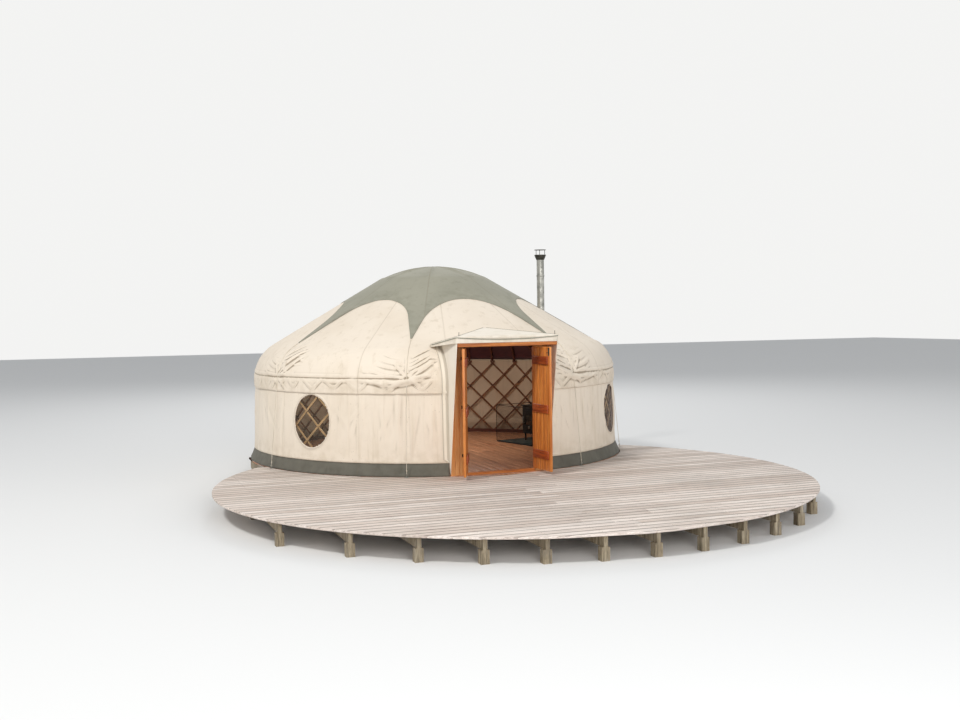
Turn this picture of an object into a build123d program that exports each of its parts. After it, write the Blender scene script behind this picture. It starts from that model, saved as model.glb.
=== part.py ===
from build123d import *
from math import acos, asin, atan2, cos, degrees, hypot, radians, sin, sqrt, tan
import os

# A round canvas yurt on a round timber deck, in millimetres with +Z up.
# The origin is on the ground under the middle of the yurt and the doorway faces -Y.
# An azimuth runs from -Y towards +X, and "out" means away from the middle of the yurt.

# Levels above the ground
DECK_TOP = 300.0
SILL_HEIGHT = 35.0
LEAF_FOOT = 48.0
LEAF_TOP = 1812.0
OPENING_TOP = 1820.0
CLEAR = 0.3
MOVING_CLEAR = 6.0

# Deck and floor platform
DECK_RADIUS = 4100.0
DECK_CENTRE_Y = -3430.0
BOARD_THICK = 28.0
JOIST_WIDTH = 47.0
JOIST_DEPTH = 122.0
JOIST_SPACING = 600.0
JOIST_INSET = 60.0
POST_SIDE = 95.0
DECK_GAP = 6.0
PLATFORM_RADIUS = 3072.0
RIM_THICK = 18.0
KERB_HEIGHT = 62.0
KERB_THICK = 16.0

# Lattice wall
LATTICE_RADIUS = 2952.0
BAR_THICK = 10.0
BAR_WIDTH = 32.0
PITCH = 9.0
ROWS = 6
ROW_HEIGHT = 217.8
BAR_HEAD = 0.2
LAYER_GAP = 0.2
LATTICE_FACETS = 74
LATTICE_JOINTS = (-4, 10, 26, 42, 58, 74)

# Wall canvas, its foot cloth and its windows
WALL_SEAMS = (14.6, 40.0, 68.0, 96.0, 124.0, 152.0, 180.0)
WALL_CLOTH = 6.0
WALL_TOP = 1400.0
WALL_HEM = 180.0
WALL_TOP_RADIUS = 2959.0
WALL_HEM_RADIUS = 3000.0
SEAM_GAP = 0.02
FOOT_CLOTH = 5.0
FOOT_TOP = 262.0
FOOT_RADIUS = 3064.0
FOOT_START = 15.1
WINDOW_PLACES = {"left": -56.0, "right": 51.0}
WINDOW_SPAN = 10.0
WINDOW_WIDTH = 705.0
WINDOW_LOW = 365.0
WINDOW_REACH = 300.0
WINDOW_HIGH = 1145.0
PANE_THICK = 2.0

# Roof, from the line of the crown ring down over the eave to the hem
RING_LINE_RADIUS = 859.0
EAVE_RADIUS = 2981.0
EAVE_LEVEL = 1288.0
EAVE_BEND = 639.0
ROOF_SLOPE = 30.4
ROOF_HEM = 1167.5
ROOF_CLOTH = 8.0
LINING_CLOTH = 10.0
LINING_FOOT = 1412.0
POLE_DEPTH = 36.0
POLE_WIDTH = 30.0
POLE_BEND = 640.0
POLE_SEAT = 0.5
DOOR_POLE_FOOT = 2535.0

# Crown
RING_RADIUS = 850.0
RING_WIDTH = 60.0
RING_DEPTH = 66.0
DOME_TOP = 3090.0
STRUTS = 8
STRUT_WIDTH = 26.0
STRUT_DEPTH = 34.0

# Star-shaped crown cover and its tie ropes
STAR_TIPS = {
    -125.75: 2500.0, -71.5: 2600.0, -26.0: 2500.0, 26.0: 2500.0, 71.5: 2600.0, 125.75: 2500.0, 180.0: 2500.0,
}
STAR_ARM_RADIUS = 2500.0
STAR_TIP_LAP = 30.0
STAR_BAY_RADIUS = 1500.0
STAR_ARM_ANGLE = 13.0
STAR_CLOTH = 5.0
COVER_SEAM = 95.0
STAR_TIP_WIDTH = 24.0
ROPE_THICK = 9.0
ROPE_START = 6.0
ANCHOR_OUT = 40.0
ANCHOR_DROP = 45.0
ANCHOR_SIDE = 50.0
ANCHOR_THICK = 4.0
EYE_HEIGHT = 34.0
EYE_WIRE = 7.0

# Doorway and its hood
OPENING_HALF = 540.0
WALL_PLANE = 2950.0
POST_DEPTH = 45.0
POST_OUTER = 756.0
HEAD_HEIGHT = 62.0
LEAF_THICK = 35.0
LEDGE_THICK = 22.0
LEDGE_HEIGHT = 118.0
LEDGE_LEVELS = (215.0, 870.0, 1560.0)
HINGE_RADIUS = 6.0
HINGE_PLATE = 2.0
HINGE_HEIGHT = 90.0
HINGE_REACH = 46.0
HINGE_LEVELS = (260.0, 950.0, 1640.0)
LEFT_OPEN = 113.0
RIGHT_OPEN = 95.0
HOOD_REACH = 360.0
HOOD_HALF = 750.0
RAIL_THICK = 35.0
RAIL_LOW = 1840.0
RAIL_TOP = 1972.0
ARM_WIDTH = 45.0
ARM_DEPTH = 60.0
HOOD_CLOTH = 5.0
VALANCE_DEPTH = 100.0
HOOD_APEX_RADIUS = 2350.0
HOOD_APEX_LEVEL = 2078.0
HOOD_TAIL_X = 900.0
HOOD_TAIL_Y = -2555.0
HOOD_TAIL_LEVEL = 1850.0
HOOD_CUT_SIDE = 10.0
HOOD_CUT_TAIL = 80.0
HOOD_CUT_TOP = 60.0
HOOD_SIDE_LAP = 3.0
HOOD_FOLD = 2.0
ARM_RISE = 8.0
PEG_INSET = 25.0
PEG_PLAY = 1.5
WING_FOOT = 12.0
WING_BACK = ((1300.0, 2906.0), (1500.0, 2880.0), (1660.0, 2800.0), (1780.0, 2705.0), (1862.0, 2615.0))
PEG_RADIUS = 4.0
PEG_TOP = 2040.0
BEAM_SIDE = 48.0

# Stove corner
STOVE_TURN = 14.5
STOVE_OUT = 2050.0
STOVE_ALONG = -185.0
STOVE_WIDTH = 460.0
STOVE_LENGTH = 380.0
STOVE_FOOT = 150.0
STOVE_TOP = 650.0
STOVE_PLATE = 12.0
STOVE_CORNER = 30.0
PLATE_LAP = 20.0
LEG_INSET = 45.0
STOVE_DOOR = (330.0, 340.0, 24.0)
STOVE_DOOR_THICK = 16.0
STOVE_GLASS = (230.0, 190.0, 16.0)
GLASS_DEPTH = 8.0
LEG_RADIUS = 14.0
HEARTH_THICK = 20.0
HEARTH_NEAR = 1524.0
HEARTH_FAR = 2500.0
HEARTH_HALF = 500.0
FLUE_OUT = 2137.0
FLUE_RADIUS = 65.0
FLUE_WALL = 2.0
FLUE_TOP = 3290.0
COWL_RADIUS = 104.0
COWL_TOP = 3410.0
COWL_SLEEVE = 60.0
COWL_FLARE = 22.0
COWL_WALL = 4.0
COWL_LID = 8.0
COWL_POST = 5.0
COWL_POST_INSET = 16.0
FLASHING_RADIUS = 150.0
FLUE_COLLAR = 14.0
GUARD_HEIGHT = 660.0
GUARD_BAR = 12.0
GUARD_FAR = 2380.0
GUARD_STAND_OFF = 16.0
GUARD_MESH = 1.5


def level(height):
    """A height above the deck, as a height above the ground."""
    return DECK_TOP + height


def out_along(azimuth):
    """The direction away from the middle of the yurt, in plan."""
    return Vector(sin(radians(azimuth)), -cos(radians(azimuth)), 0)


def radial_plane(azimuth, origin=(0, 0, 0)):
    """A plane whose x runs outwards at an azimuth and whose y runs up."""
    out = out_along(azimuth)
    return Plane(origin=origin, x_dir=out, z_dir=out.cross(Vector(0, 0, 1)))


def export(piece, name):
    piece.part.label = name
    export_step(piece.part, f"parts/{name}.step")


# The roof's outer face, and what lies a given depth under it
slope = radians(ROOF_SLOPE)
eave_centre = Vector(EAVE_RADIUS - EAVE_BEND, level(EAVE_LEVEL))


def slope_level(radius, depth=0.0):
    """The level of the straight slope at a radius, a depth under the outer face."""
    reach = eave_centre.X * sin(slope) + eave_centre.Y * cos(slope) + EAVE_BEND - depth
    return (reach - radius * sin(slope)) / cos(slope)


def bend_point(turn, depth=0.0):
    """A point of the bend, its turn measured from straight out towards the slope."""
    reach = EAVE_BEND - depth
    return Vector(eave_centre.X + reach * cos(turn), eave_centre.Y + reach * sin(turn))


bend_end = radians(90.0 - ROOF_SLOPE)


def cloth_profile(depth, thickness, top_radius, foot=0.0):
    """The section of a cloth that follows slope and bend, down to a turn of the bend."""
    outer_top = Vector(top_radius, slope_level(top_radius, depth))
    inner_top = outer_top - Vector(sin(slope), cos(slope)) * thickness
    inner = depth + thickness
    with BuildLine() as outline:
        Line(outer_top, bend_point(bend_end, depth))
        ThreePointArc(
            bend_point(bend_end, depth), bend_point((bend_end + foot) / 2, depth), bend_point(foot, depth)
        )
        Line(bend_point(foot, depth), bend_point(foot, inner))
        ThreePointArc(
            bend_point(foot, inner), bend_point((bend_end + foot) / 2, inner), bend_point(bend_end, inner)
        )
        Line(bend_point(bend_end, inner), inner_top)
        Line(inner_top, outer_top)
    return outline.line


def seam_spans():
    """Azimuth spans between the wall's seams, right round from one door post to the other."""
    right = list(zip(WALL_SEAMS[:-1], WALL_SEAMS[1:]))
    left = [(-end, -start) for start, end in right]
    return [(start + SEAM_GAP, end - SEAM_GAP) for start, end in left[::-1] + right]


spans = seam_spans()
left_spans = [span for span in spans if span[1] <= 0]
right_spans = [span for span in spans if span[0] >= 0]

# The doorway's cut through the roof cloths, in plan
cut_side = POST_OUTER + HOOD_CUT_SIDE
cut_tail = HOOD_TAIL_Y - HOOD_CUT_TAIL
cut_back = -HOOD_APEX_RADIUS - HOOD_CUT_TAIL
hood_cut = [
    (-cut_side, -2 * EAVE_RADIUS), (-cut_side, cut_tail), (-HOOD_CUT_TOP, cut_back),
    (HOOD_CUT_TOP, cut_back), (cut_side, cut_tail), (cut_side, -2 * EAVE_RADIUS),
]

# The stove corner's own axes: outwards from the middle, and along the wall
stove_out = Vector(cos(radians(STOVE_TURN)), sin(radians(STOVE_TURN)), 0)
stove_along = Vector(-stove_out.Y, stove_out.X, 0)


def stove_plane(out, along, height):
    """A level plane in the stove corner whose x runs outwards."""
    return Plane(origin=stove_out * out + stove_along * along + Vector(0, 0, height), x_dir=stove_out,
                 z_dir=(0, 0, 1))


flue_axis = stove_out * FLUE_OUT + stove_along * STOVE_ALONG

# Deck and floor platform
board_plane = Plane.XY.offset(DECK_TOP - BOARD_THICK)
joist_foot = DECK_TOP - BOARD_THICK - JOIST_DEPTH

with BuildPart() as sun_deck:
    with BuildSketch(board_plane):
        with Locations((0, DECK_CENTRE_Y)):
            Circle(DECK_RADIUS)
        Circle(PLATFORM_RADIUS + DECK_GAP, mode=Mode.SUBTRACT)
    extrude(amount=BOARD_THICK)
export(sun_deck, "sun_deck")

with BuildPart() as floor_platform:
    with BuildSketch(board_plane):
        Circle(PLATFORM_RADIUS)
    extrude(amount=BOARD_THICK)
export(floor_platform, "floor_platform")


def deck_run(x):
    """Where a deck joist starts and ends in Y."""
    reach = sqrt((DECK_RADIUS - JOIST_INSET) ** 2 - x * x)
    back = DECK_CENTRE_Y + reach
    edge = PLATFORM_RADIUS + JOIST_INSET
    if abs(x) < edge:
        back = min(back, -sqrt(edge * edge - x * x))
    return DECK_CENTRE_Y - reach, back


def platform_run(x):
    """Where a platform joist starts and ends in Y, inside the rim board."""
    reach = sqrt((PLATFORM_RADIUS - RIM_THICK - JOIST_INSET) ** 2 - x * x)
    return -reach, reach


def joist_places(radius):
    """The joists' places across a round frame."""
    count = int((radius - JOIST_INSET - JOIST_WIDTH) / JOIST_SPACING)
    return [k * JOIST_SPACING for k in range(-count, count + 1)]


deck_joist_x = joist_places(DECK_RADIUS)
platform_joist_x = joist_places(PLATFORM_RADIUS - RIM_THICK)


def joists(places, run):
    with BuildPart() as frame:
        with BuildSketch(Plane.XY.offset(joist_foot)):
            for x in places:
                start, end = run(x)
                with Locations((x, (start + end) / 2)):
                    Rectangle(JOIST_WIDTH, end - start)
        extrude(amount=JOIST_DEPTH - CLEAR)
    return frame


def posts(places, run, spacing):
    """Posts from the ground to the joists, at each joist's ends and evenly between."""
    with BuildPart() as stand:
        with BuildSketch(Plane.XY):
            for x in places:
                start, end = run(x)
                start += POST_SIDE / 2
                end -= POST_SIDE / 2
                bays = max(2, 2 * round((end - start) / spacing / 2)) if end - start > POST_SIDE * 2 else 0
                for k in range(bays + 1):
                    along = start + (end - start) * k / bays if bays else (start + end) / 2
                    with Locations((x, along)):
                        Rectangle(POST_SIDE, POST_SIDE)
        extrude(amount=joist_foot - CLEAR)
    return stand


export(joists(deck_joist_x, deck_run), "deck_joists")
export(joists(platform_joist_x, platform_run), "platform_joists")
export(posts(deck_joist_x, deck_run, JOIST_SPACING * 3), "deck_posts")
export(posts(platform_joist_x, platform_run, JOIST_SPACING * 4), "platform_posts")


def wall_ring(profile, ring_spans):
    """A section turned about the middle of the yurt over each of several spans."""
    with BuildPart() as ring:
        for start, end in ring_spans:
            with BuildSketch(radial_plane(start)):
                with BuildLine():
                    Polyline(*profile, close=True)
                make_face()
            revolve(axis=Axis.Z, revolution_arc=end - start)
    return ring


rim_inner = PLATFORM_RADIUS - RIM_THICK
rim_top = DECK_TOP - BOARD_THICK - CLEAR
rim = [(rim_inner, joist_foot), (PLATFORM_RADIUS, joist_foot), (PLATFORM_RADIUS, rim_top), (rim_inner, rim_top)]
rim_spans = [(k * 30 + SEAM_GAP, k * 30 + 30 - SEAM_GAP) for k in range(12)]
export(wall_ring(rim, rim_spans), "platform_rim")

kerb_outer = LATTICE_RADIUS - 2 * BAR_THICK - 4
kerb_low, kerb_high = level(CLEAR), level(KERB_HEIGHT)
kerb = [
    (kerb_outer - KERB_THICK, kerb_low), (kerb_outer, kerb_low),
    (kerb_outer, kerb_high), (kerb_outer - KERB_THICK, kerb_high),
]
export(wall_ring(kerb, spans), "floor_kerb")

# Lattice wall: flat bars in two layers on the facets between crossings
half_pitch = PITCH / 2
lattice_start = 180 - LATTICE_FACETS * half_pitch / 2
row_rise = ROW_HEIGHT
facet_width = 2 * LATTICE_RADIUS * sin(radians(half_pitch / 2))
bar_upright = BAR_WIDTH * hypot(facet_width, row_rise) / facet_width
lattice_foot = level(bar_upright / 2 + CLEAR)


def bar_section(line, row, outer):
    """The upright section of a bar at a crossing line, or at a share of a facet past one."""
    past = abs(line - round(line))
    inset = cos(radians(half_pitch / 2)) / cos(radians(half_pitch * (0.5 - past)))
    with BuildSketch(radial_plane(lattice_start + line * half_pitch)) as section:
        with Locations(((outer - BAR_THICK / 2) * inset, lattice_foot + row * row_rise)):
            Rectangle(BAR_THICK * inset, bar_upright)
    return section.sketch


def lattice_bar(start, rise):
    """A bar bent from one crossing line to the next, its head left standing above the last one."""
    row = 0 if rise > 0 else ROWS
    places = [
        (start + k, row + rise * k)
        for k in range(ROWS + 1)
        if 0 <= start + k <= LATTICE_FACETS
    ]
    head_line = start + ROWS if rise > 0 else start
    if 0 < head_line < LATTICE_FACETS:
        head = (head_line + rise * BAR_HEAD, ROWS + BAR_HEAD)
        places = places + [head] if rise > 0 else [head] + places
    outer = LATTICE_RADIUS if rise > 0 else LATTICE_RADIUS - BAR_THICK - LAYER_GAP
    with BuildPart() as bar:
        loft(sections=[bar_section(*place, outer) for place in places], ruled=True)
    return bar.part


for node, (first, last) in enumerate(zip(LATTICE_JOINTS, LATTICE_JOINTS[1:]), start=1):
    with BuildPart() as lattice:
        add([lattice_bar(start, rise) for start in range(first, last, 2) for rise in (1, -1)])
    export(lattice, f"lattice_{node}")

# Wall canvas with its windows, and the foot cloth that shows below its hem
lean = (WALL_HEM_RADIUS - WALL_TOP_RADIUS) / (WALL_TOP - WALL_HEM)


def wall_radius(height):
    return WALL_TOP_RADIUS + (WALL_TOP - height) * lean


def canvas_section(inset, thickness):
    low, high = level(WALL_HEM), level(WALL_TOP)
    foot, top = WALL_HEM_RADIUS - inset, WALL_TOP_RADIUS - inset
    return [(foot - thickness, low), (foot, low), (top, high), (top - thickness, high)]


def window_plane(azimuth):
    """A plane outside the wall, facing a window from straight out."""
    out = out_along(azimuth)
    middle = level((WINDOW_LOW + WINDOW_HIGH) / 2)
    return Plane(origin=out * (WALL_HEM_RADIUS + WINDOW_REACH / 3) + Vector(0, 0, middle),
                 x_dir=Vector(0, 0, 1).cross(out), z_dir=out)


for name, half in (("left", left_spans), ("right", right_spans)):
    canvas = wall_ring(canvas_section(0, WALL_CLOTH), half)
    with BuildPart() as wall_canvas:
        add(canvas.part)
        with BuildSketch(window_plane(WINDOW_PLACES[name])):
            Ellipse(WINDOW_WIDTH / 2, (WINDOW_HIGH - WINDOW_LOW) / 2)
        extrude(amount=-WINDOW_REACH, mode=Mode.SUBTRACT)
    export(wall_canvas, f"wall_canvas_{name}")

window_spans = [(azimuth - WINDOW_SPAN, azimuth + WINDOW_SPAN) for azimuth in WINDOW_PLACES.values()]
pane_ring = wall_ring(canvas_section(WALL_CLOTH / 2 - PANE_THICK / 2, PANE_THICK), window_spans)
with BuildPart() as window_panes:
    add(pane_ring.part)
    with BuildPart(mode=Mode.INTERSECT):
        for azimuth in WINDOW_PLACES.values():
            with BuildSketch(window_plane(azimuth)):
                Ellipse(WINDOW_WIDTH / 2 - CLEAR, (WINDOW_HIGH - WINDOW_LOW) / 2 - CLEAR)
            extrude(amount=-WINDOW_REACH)
export(window_panes, "window_panes")

foot_top_radius = wall_radius(FOOT_TOP) - WALL_CLOTH - CLEAR
foot_low = level(CLEAR)
foot_hem_radius = wall_radius(WALL_HEM) - WALL_CLOTH - CLEAR
foot_cloth = [
    (FOOT_RADIUS - FOOT_CLOTH, foot_low), (FOOT_RADIUS, foot_low), (foot_hem_radius, level(WALL_HEM)),
    (foot_top_radius, level(FOOT_TOP)), (foot_top_radius - FOOT_CLOTH, level(FOOT_TOP)),
    (foot_hem_radius - FOOT_CLOTH, level(WALL_HEM)),
]
foot_spans = [
    (max(start, FOOT_START) if start > 0 else start, min(end, -FOOT_START) if end < 0 else end)
    for start, end in spans
]
export(wall_ring(foot_cloth, foot_spans), "mud_wall")

# Roof cloths
lining_depth = ROOF_CLOTH + CLEAR
pole_depth = lining_depth + LINING_CLOTH + CLEAR


def roof_cloth(depth, thickness, top_radius, foot):
    """A roof cloth in gores, cut away under the hood and round the flue."""
    with BuildPart() as cloth:
        for start, end in spans + [(-WALL_SEAMS[0], WALL_SEAMS[0])]:
            profile = cloth_profile(depth, thickness, top_radius, foot)
            with BuildSketch(radial_plane(start)):
                with BuildLine():
                    add(profile)
                make_face()
            revolve(axis=Axis.Z, revolution_arc=end - start)
        with BuildSketch(Plane.XY.offset(level(ROOF_HEM))):
            with BuildLine():
                Polyline(*hood_cut, close=True)
            make_face()
            with Locations((flue_axis.X, flue_axis.Y)):
                Circle(FLUE_RADIUS + FLUE_COLLAR + 2)
        extrude(amount=DOME_TOP, mode=Mode.SUBTRACT)
    return cloth


lining_turn = asin((level(LINING_FOOT) - eave_centre.Y) / (EAVE_BEND - lining_depth))
export(roof_cloth(0, ROOF_CLOTH, RING_LINE_RADIUS, 0.0), "roof_canvas")
export(roof_cloth(lining_depth, LINING_CLOTH, RING_LINE_RADIUS, lining_turn), "roof_lining")

valance = [
    (EAVE_RADIUS - ROOF_CLOTH, level(ROOF_HEM)), (EAVE_RADIUS, level(ROOF_HEM)),
    (EAVE_RADIUS, level(EAVE_LEVEL) - CLEAR), (EAVE_RADIUS - ROOF_CLOTH, level(EAVE_LEVEL) - CLEAR),
]
valance_start = degrees(acos((POST_OUTER + 10) / EAVE_RADIUS))
valance_spans = [
    (max(start, 90 - valance_start + 0.1) if start > 0 else start,
     min(end, valance_start - 90 - 0.1) if end < 0 else end)
    for start, end in spans
]
export(wall_ring(valance, valance_spans), "roof_valance")

# Roof poles, bent at the eave to stand in the heads of the lattice
pole_reach = eave_centre.X * sin(slope) + eave_centre.Y * cos(slope) + EAVE_BEND - pole_depth
pole_radius = LATTICE_RADIUS - CLEAR
pole_centre = Vector(
    pole_radius - POLE_BEND,
    (pole_reach - POLE_BEND - (pole_radius - POLE_BEND) * sin(slope)) / cos(slope),
)
head_level = lattice_foot + ROWS * row_rise
pole_foot = head_level + bar_upright / 2 + POLE_WIDTH / 2 * row_rise / facet_width + POLE_SEAT


def pole_bend(inset):
    """Start, middle and end of a pole's bend, from the slope down to its level foot."""
    reach = POLE_BEND - inset
    foot = asin((pole_foot - pole_centre.Y) / reach)
    turns = (bend_end, (bend_end + foot) / 2, foot)
    return [Vector(pole_centre.X + reach * cos(turn), pole_centre.Y + reach * sin(turn)) for turn in turns]


def pole_top(inset):
    """The end of a pole at the crown ring, on its upper or lower face."""
    radius = RING_RADIUS + CLEAR
    return Vector(radius, slope_level(radius, pole_depth + inset))


with BuildPart() as roof_poles:
    for k in range(0, LATTICE_FACETS + 1, 2):
        azimuth = lattice_start + k * half_pitch
        with BuildSketch(radial_plane(azimuth)):
            with BuildLine():
                outer_bend = pole_bend(0)
                inner_bend = pole_bend(POLE_DEPTH)
                Line(pole_top(0), outer_bend[0])
                ThreePointArc(*outer_bend)
                Line(outer_bend[-1], inner_bend[-1])
                ThreePointArc(*inner_bend[::-1])
                Polyline(inner_bend[0], pole_top(POLE_DEPTH), pole_top(0))
            make_face()
        extrude(amount=POLE_WIDTH / 2, both=True)
    for azimuth in (-half_pitch, half_pitch):
        foot_high = Vector(DOOR_POLE_FOOT, slope_level(DOOR_POLE_FOOT, pole_depth))
        foot_low_end = Vector(DOOR_POLE_FOOT, slope_level(DOOR_POLE_FOOT, pole_depth + POLE_DEPTH))
        with BuildSketch(radial_plane(azimuth)):
            with BuildLine():
                Polyline(pole_top(0), foot_high, foot_low_end, pole_top(POLE_DEPTH), close=True)
            make_face()
        extrude(amount=POLE_WIDTH / 2, both=True)
export(roof_poles, "roof_poles")

# Beam that the two door poles rest on, between the poles each side of the doorway
beam_far = DOOR_POLE_FOOT - 15
beam_out = beam_far * cos(radians(half_pitch))
beam_top = slope_level(beam_out / cos(radians(half_pitch)), pole_depth + POLE_DEPTH) - 2 * CLEAR
side_pole = radians(3 * half_pitch)
beam_half = (beam_out - BEAM_SIDE) * tan(side_pole) - (POLE_WIDTH / 2 + CLEAR) / cos(side_pole)
with BuildPart() as door_pole_beam:
    with BuildSketch(Plane.XY.offset(beam_top)):
        with Locations((0, -beam_out + BEAM_SIDE / 2)):
            Rectangle(2 * beam_half, BEAM_SIDE)
    extrude(amount=-BEAM_SIDE)
export(door_pole_beam, "door_pole_beam")

# Crown ring and its bowed struts
ring_top = slope_level(RING_RADIUS, ROOF_CLOTH + 4)
with BuildPart() as crown_ring:
    with BuildSketch(Plane.XY.offset(ring_top - RING_DEPTH)):
        Circle(RING_RADIUS)
        Circle(RING_RADIUS - RING_WIDTH, mode=Mode.SUBTRACT)
    extrude(amount=RING_DEPTH)
export(crown_ring, "crown_ring")

dome_rise = level(DOME_TOP) - slope_level(RING_LINE_RADIUS)
dome_radius = (RING_LINE_RADIUS**2 + dome_rise**2) / (2 * dome_rise)
dome_centre = level(DOME_TOP) - dome_radius


def dome_point(radius, depth):
    """A point of the dome, a depth under its outer face."""
    reach = dome_radius - depth
    return Vector(radius, dome_centre + sqrt(reach * reach - radius * radius))


strut_reach = RING_RADIUS - RING_WIDTH / 2
strut_depth = STAR_CLOTH + CLEAR
strut_seat = ring_top + CLEAR
with BuildPart() as crown_struts:
    for k in range(STRUTS // 2):
        azimuth = (k + 0.5) * 360 / STRUTS
        with BuildSketch(radial_plane(azimuth)):
            left, right = dome_point(-strut_reach, strut_depth), dome_point(strut_reach, strut_depth)
            low_left, low_right = (-strut_reach, strut_seat), (strut_reach, strut_seat)
            inner_left = dome_point(-strut_reach + STRUT_DEPTH * 2, strut_depth + STRUT_DEPTH)
            inner_right = dome_point(strut_reach - STRUT_DEPTH * 2, strut_depth + STRUT_DEPTH)
            with BuildLine():
                ThreePointArc(left, dome_point(0, strut_depth), right)
                Polyline(right, low_right, (strut_reach - STRUT_DEPTH, strut_seat), inner_right)
                ThreePointArc(inner_right, dome_point(0, strut_depth + STRUT_DEPTH), inner_left)
                Polyline(inner_left, (-strut_reach + STRUT_DEPTH, strut_seat), low_left, left)
            make_face()
        extrude(amount=STRUT_WIDTH / 2, both=True)
export(crown_struts, "crown_struts")

# Star-shaped cover over the crown, its arms lying down the roof
cover_out = STAR_CLOTH + CLEAR


def bay_shoulders(middle, half_bay):
    """Where the straight sides of a bay between two arms meet its round top."""
    side_angle = radians(half_bay + STAR_ARM_ANGLE)
    run = STAR_ARM_RADIUS * cos(radians(half_bay)) - STAR_BAY_RADIUS
    half = STAR_ARM_RADIUS * sin(radians(half_bay)) - run * tan(side_angle)
    out, along = out_along(middle), out_along(middle + 90)
    ahead = out * (STAR_BAY_RADIUS + half * cos(side_angle))
    return [ahead + along * (sign * half * (1 + sin(side_angle))) for sign in (-1, 1)]


with BuildPart() as star_cap:
    with BuildSketch(radial_plane(COVER_SEAM)):
        with BuildLine():
            ring_inner = Vector(RING_LINE_RADIUS, slope_level(RING_LINE_RADIUS, -CLEAR))
            ring_outer = Vector(RING_LINE_RADIUS, slope_level(RING_LINE_RADIUS, -cover_out))
            reach = max(STAR_TIPS.values()) + STAR_TIP_LAP
            tip_outer = Vector(reach, slope_level(reach, -cover_out))
            tip_inner = Vector(reach, slope_level(reach, -CLEAR))
            Polyline(ring_outer, tip_outer, tip_inner, ring_inner, close=True)
        make_face()
    revolve(axis=Axis.Z)
    with BuildSketch(Plane.XY.offset(level(0))):
        with BuildLine():
            corners = []
            for azimuth, tip_radius in STAR_TIPS.items():
                out = out_along(azimuth)
                side = Vector(-out.Y, out.X, 0) * (STAR_TIP_WIDTH / 2)
                corners.append((out * tip_radius - side, out * tip_radius + side))
            tip_azimuths = list(STAR_TIPS)
            for k, azimuth in enumerate(tip_azimuths):
                following = (k + 1) % len(tip_azimuths)
                half_bay = ((tip_azimuths[following] - azimuth) % 360) / 2
                shoulders = bay_shoulders(azimuth + half_bay, half_bay)
                Line(corners[k][0], corners[k][1])
                Line(corners[k][1], shoulders[0])
                ThreePointArc(shoulders[0], out_along(azimuth + half_bay) * STAR_BAY_RADIUS, shoulders[1])
                Line(shoulders[1], corners[following][0])
        make_face()
    extrude(amount=DOME_TOP + 100, mode=Mode.INTERSECT)
    dome_edge = RING_LINE_RADIUS - CLEAR
    with BuildSketch(radial_plane(COVER_SEAM)):
        with BuildLine():
            top_outer, top_inner = dome_point(0, -cover_out), dome_point(0, -CLEAR)
            edge_outer, edge_inner = dome_point(dome_edge, -cover_out), dome_point(dome_edge, -CLEAR)
            ThreePointArc(top_outer, dome_point(dome_edge / 2, -cover_out), edge_outer)
            Line(edge_outer, edge_inner)
            ThreePointArc(edge_inner, dome_point(dome_edge / 2, -CLEAR), top_inner)
            Line(top_inner, top_outer)
        make_face()
    revolve(axis=Axis.Z)
export(star_cap, "star_cap")

# Tie ropes from the star's tips down to their anchors
rope_half = ROPE_THICK / 2 * cos(radians(30))
rope_out = rope_half + CLEAR
anchor_radius = PLATFORM_RADIUS + ANCHOR_OUT
anchor_top = level(ANCHOR_THICK + CLEAR)
eye_clear = rope_half * sin(atan2(anchor_radius - EAVE_RADIUS, EAVE_LEVEL)) + CLEAR


def on_deck(azimuth):
    spot = out_along(azimuth) * anchor_radius
    return hypot(spot.X, spot.Y - DECK_CENTRE_Y) < DECK_RADIUS - ANCHOR_SIDE


def rope_end(azimuth):
    """The level at which a rope meets its anchor."""
    return anchor_top + EYE_HEIGHT if on_deck(azimuth) else rim_top - ANCHOR_DROP + EYE_WIRE / 2 + eye_clear


def tie_rope(azimuth):
    """A rope in the plane of the doorway, from a star tip over the eave, turned to its azimuth."""
    fall = Vector(anchor_radius, rope_end(azimuth)) - eave_centre
    leave = acos((EAVE_BEND + rope_out) / fall.length) + atan2(fall.Y, fall.X)
    plane = radial_plane(0)
    start_radius = STAR_TIPS[azimuth] + ROPE_START
    start = plane.from_local_coords(Vector(start_radius, slope_level(start_radius, -rope_out)))
    end = plane.from_local_coords(Vector(anchor_radius, rope_end(azimuth)))
    turns = (bend_end, (bend_end + leave) / 2, leave)
    bend = [plane.from_local_coords(bend_point(turn, -rope_out)) for turn in turns]
    with BuildPart() as rope:
        with BuildLine():
            Line(start, bend[0])
            ThreePointArc(*bend)
            Line(bend[-1], end)
        downhill = plane.x_dir * cos(slope) - Vector(0, 0, sin(slope))
        with BuildSketch(Plane(origin=start, x_dir=plane.z_dir, z_dir=downhill)):
            RegularPolygon(ROPE_THICK / 2, 6)
        sweep()
    return rope.part.rotate(Axis.Z, azimuth)


with BuildPart() as tie_ropes:
    add([tie_rope(azimuth) for azimuth in STAR_TIPS])
export(tie_ropes, "tie_ropes")

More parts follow.
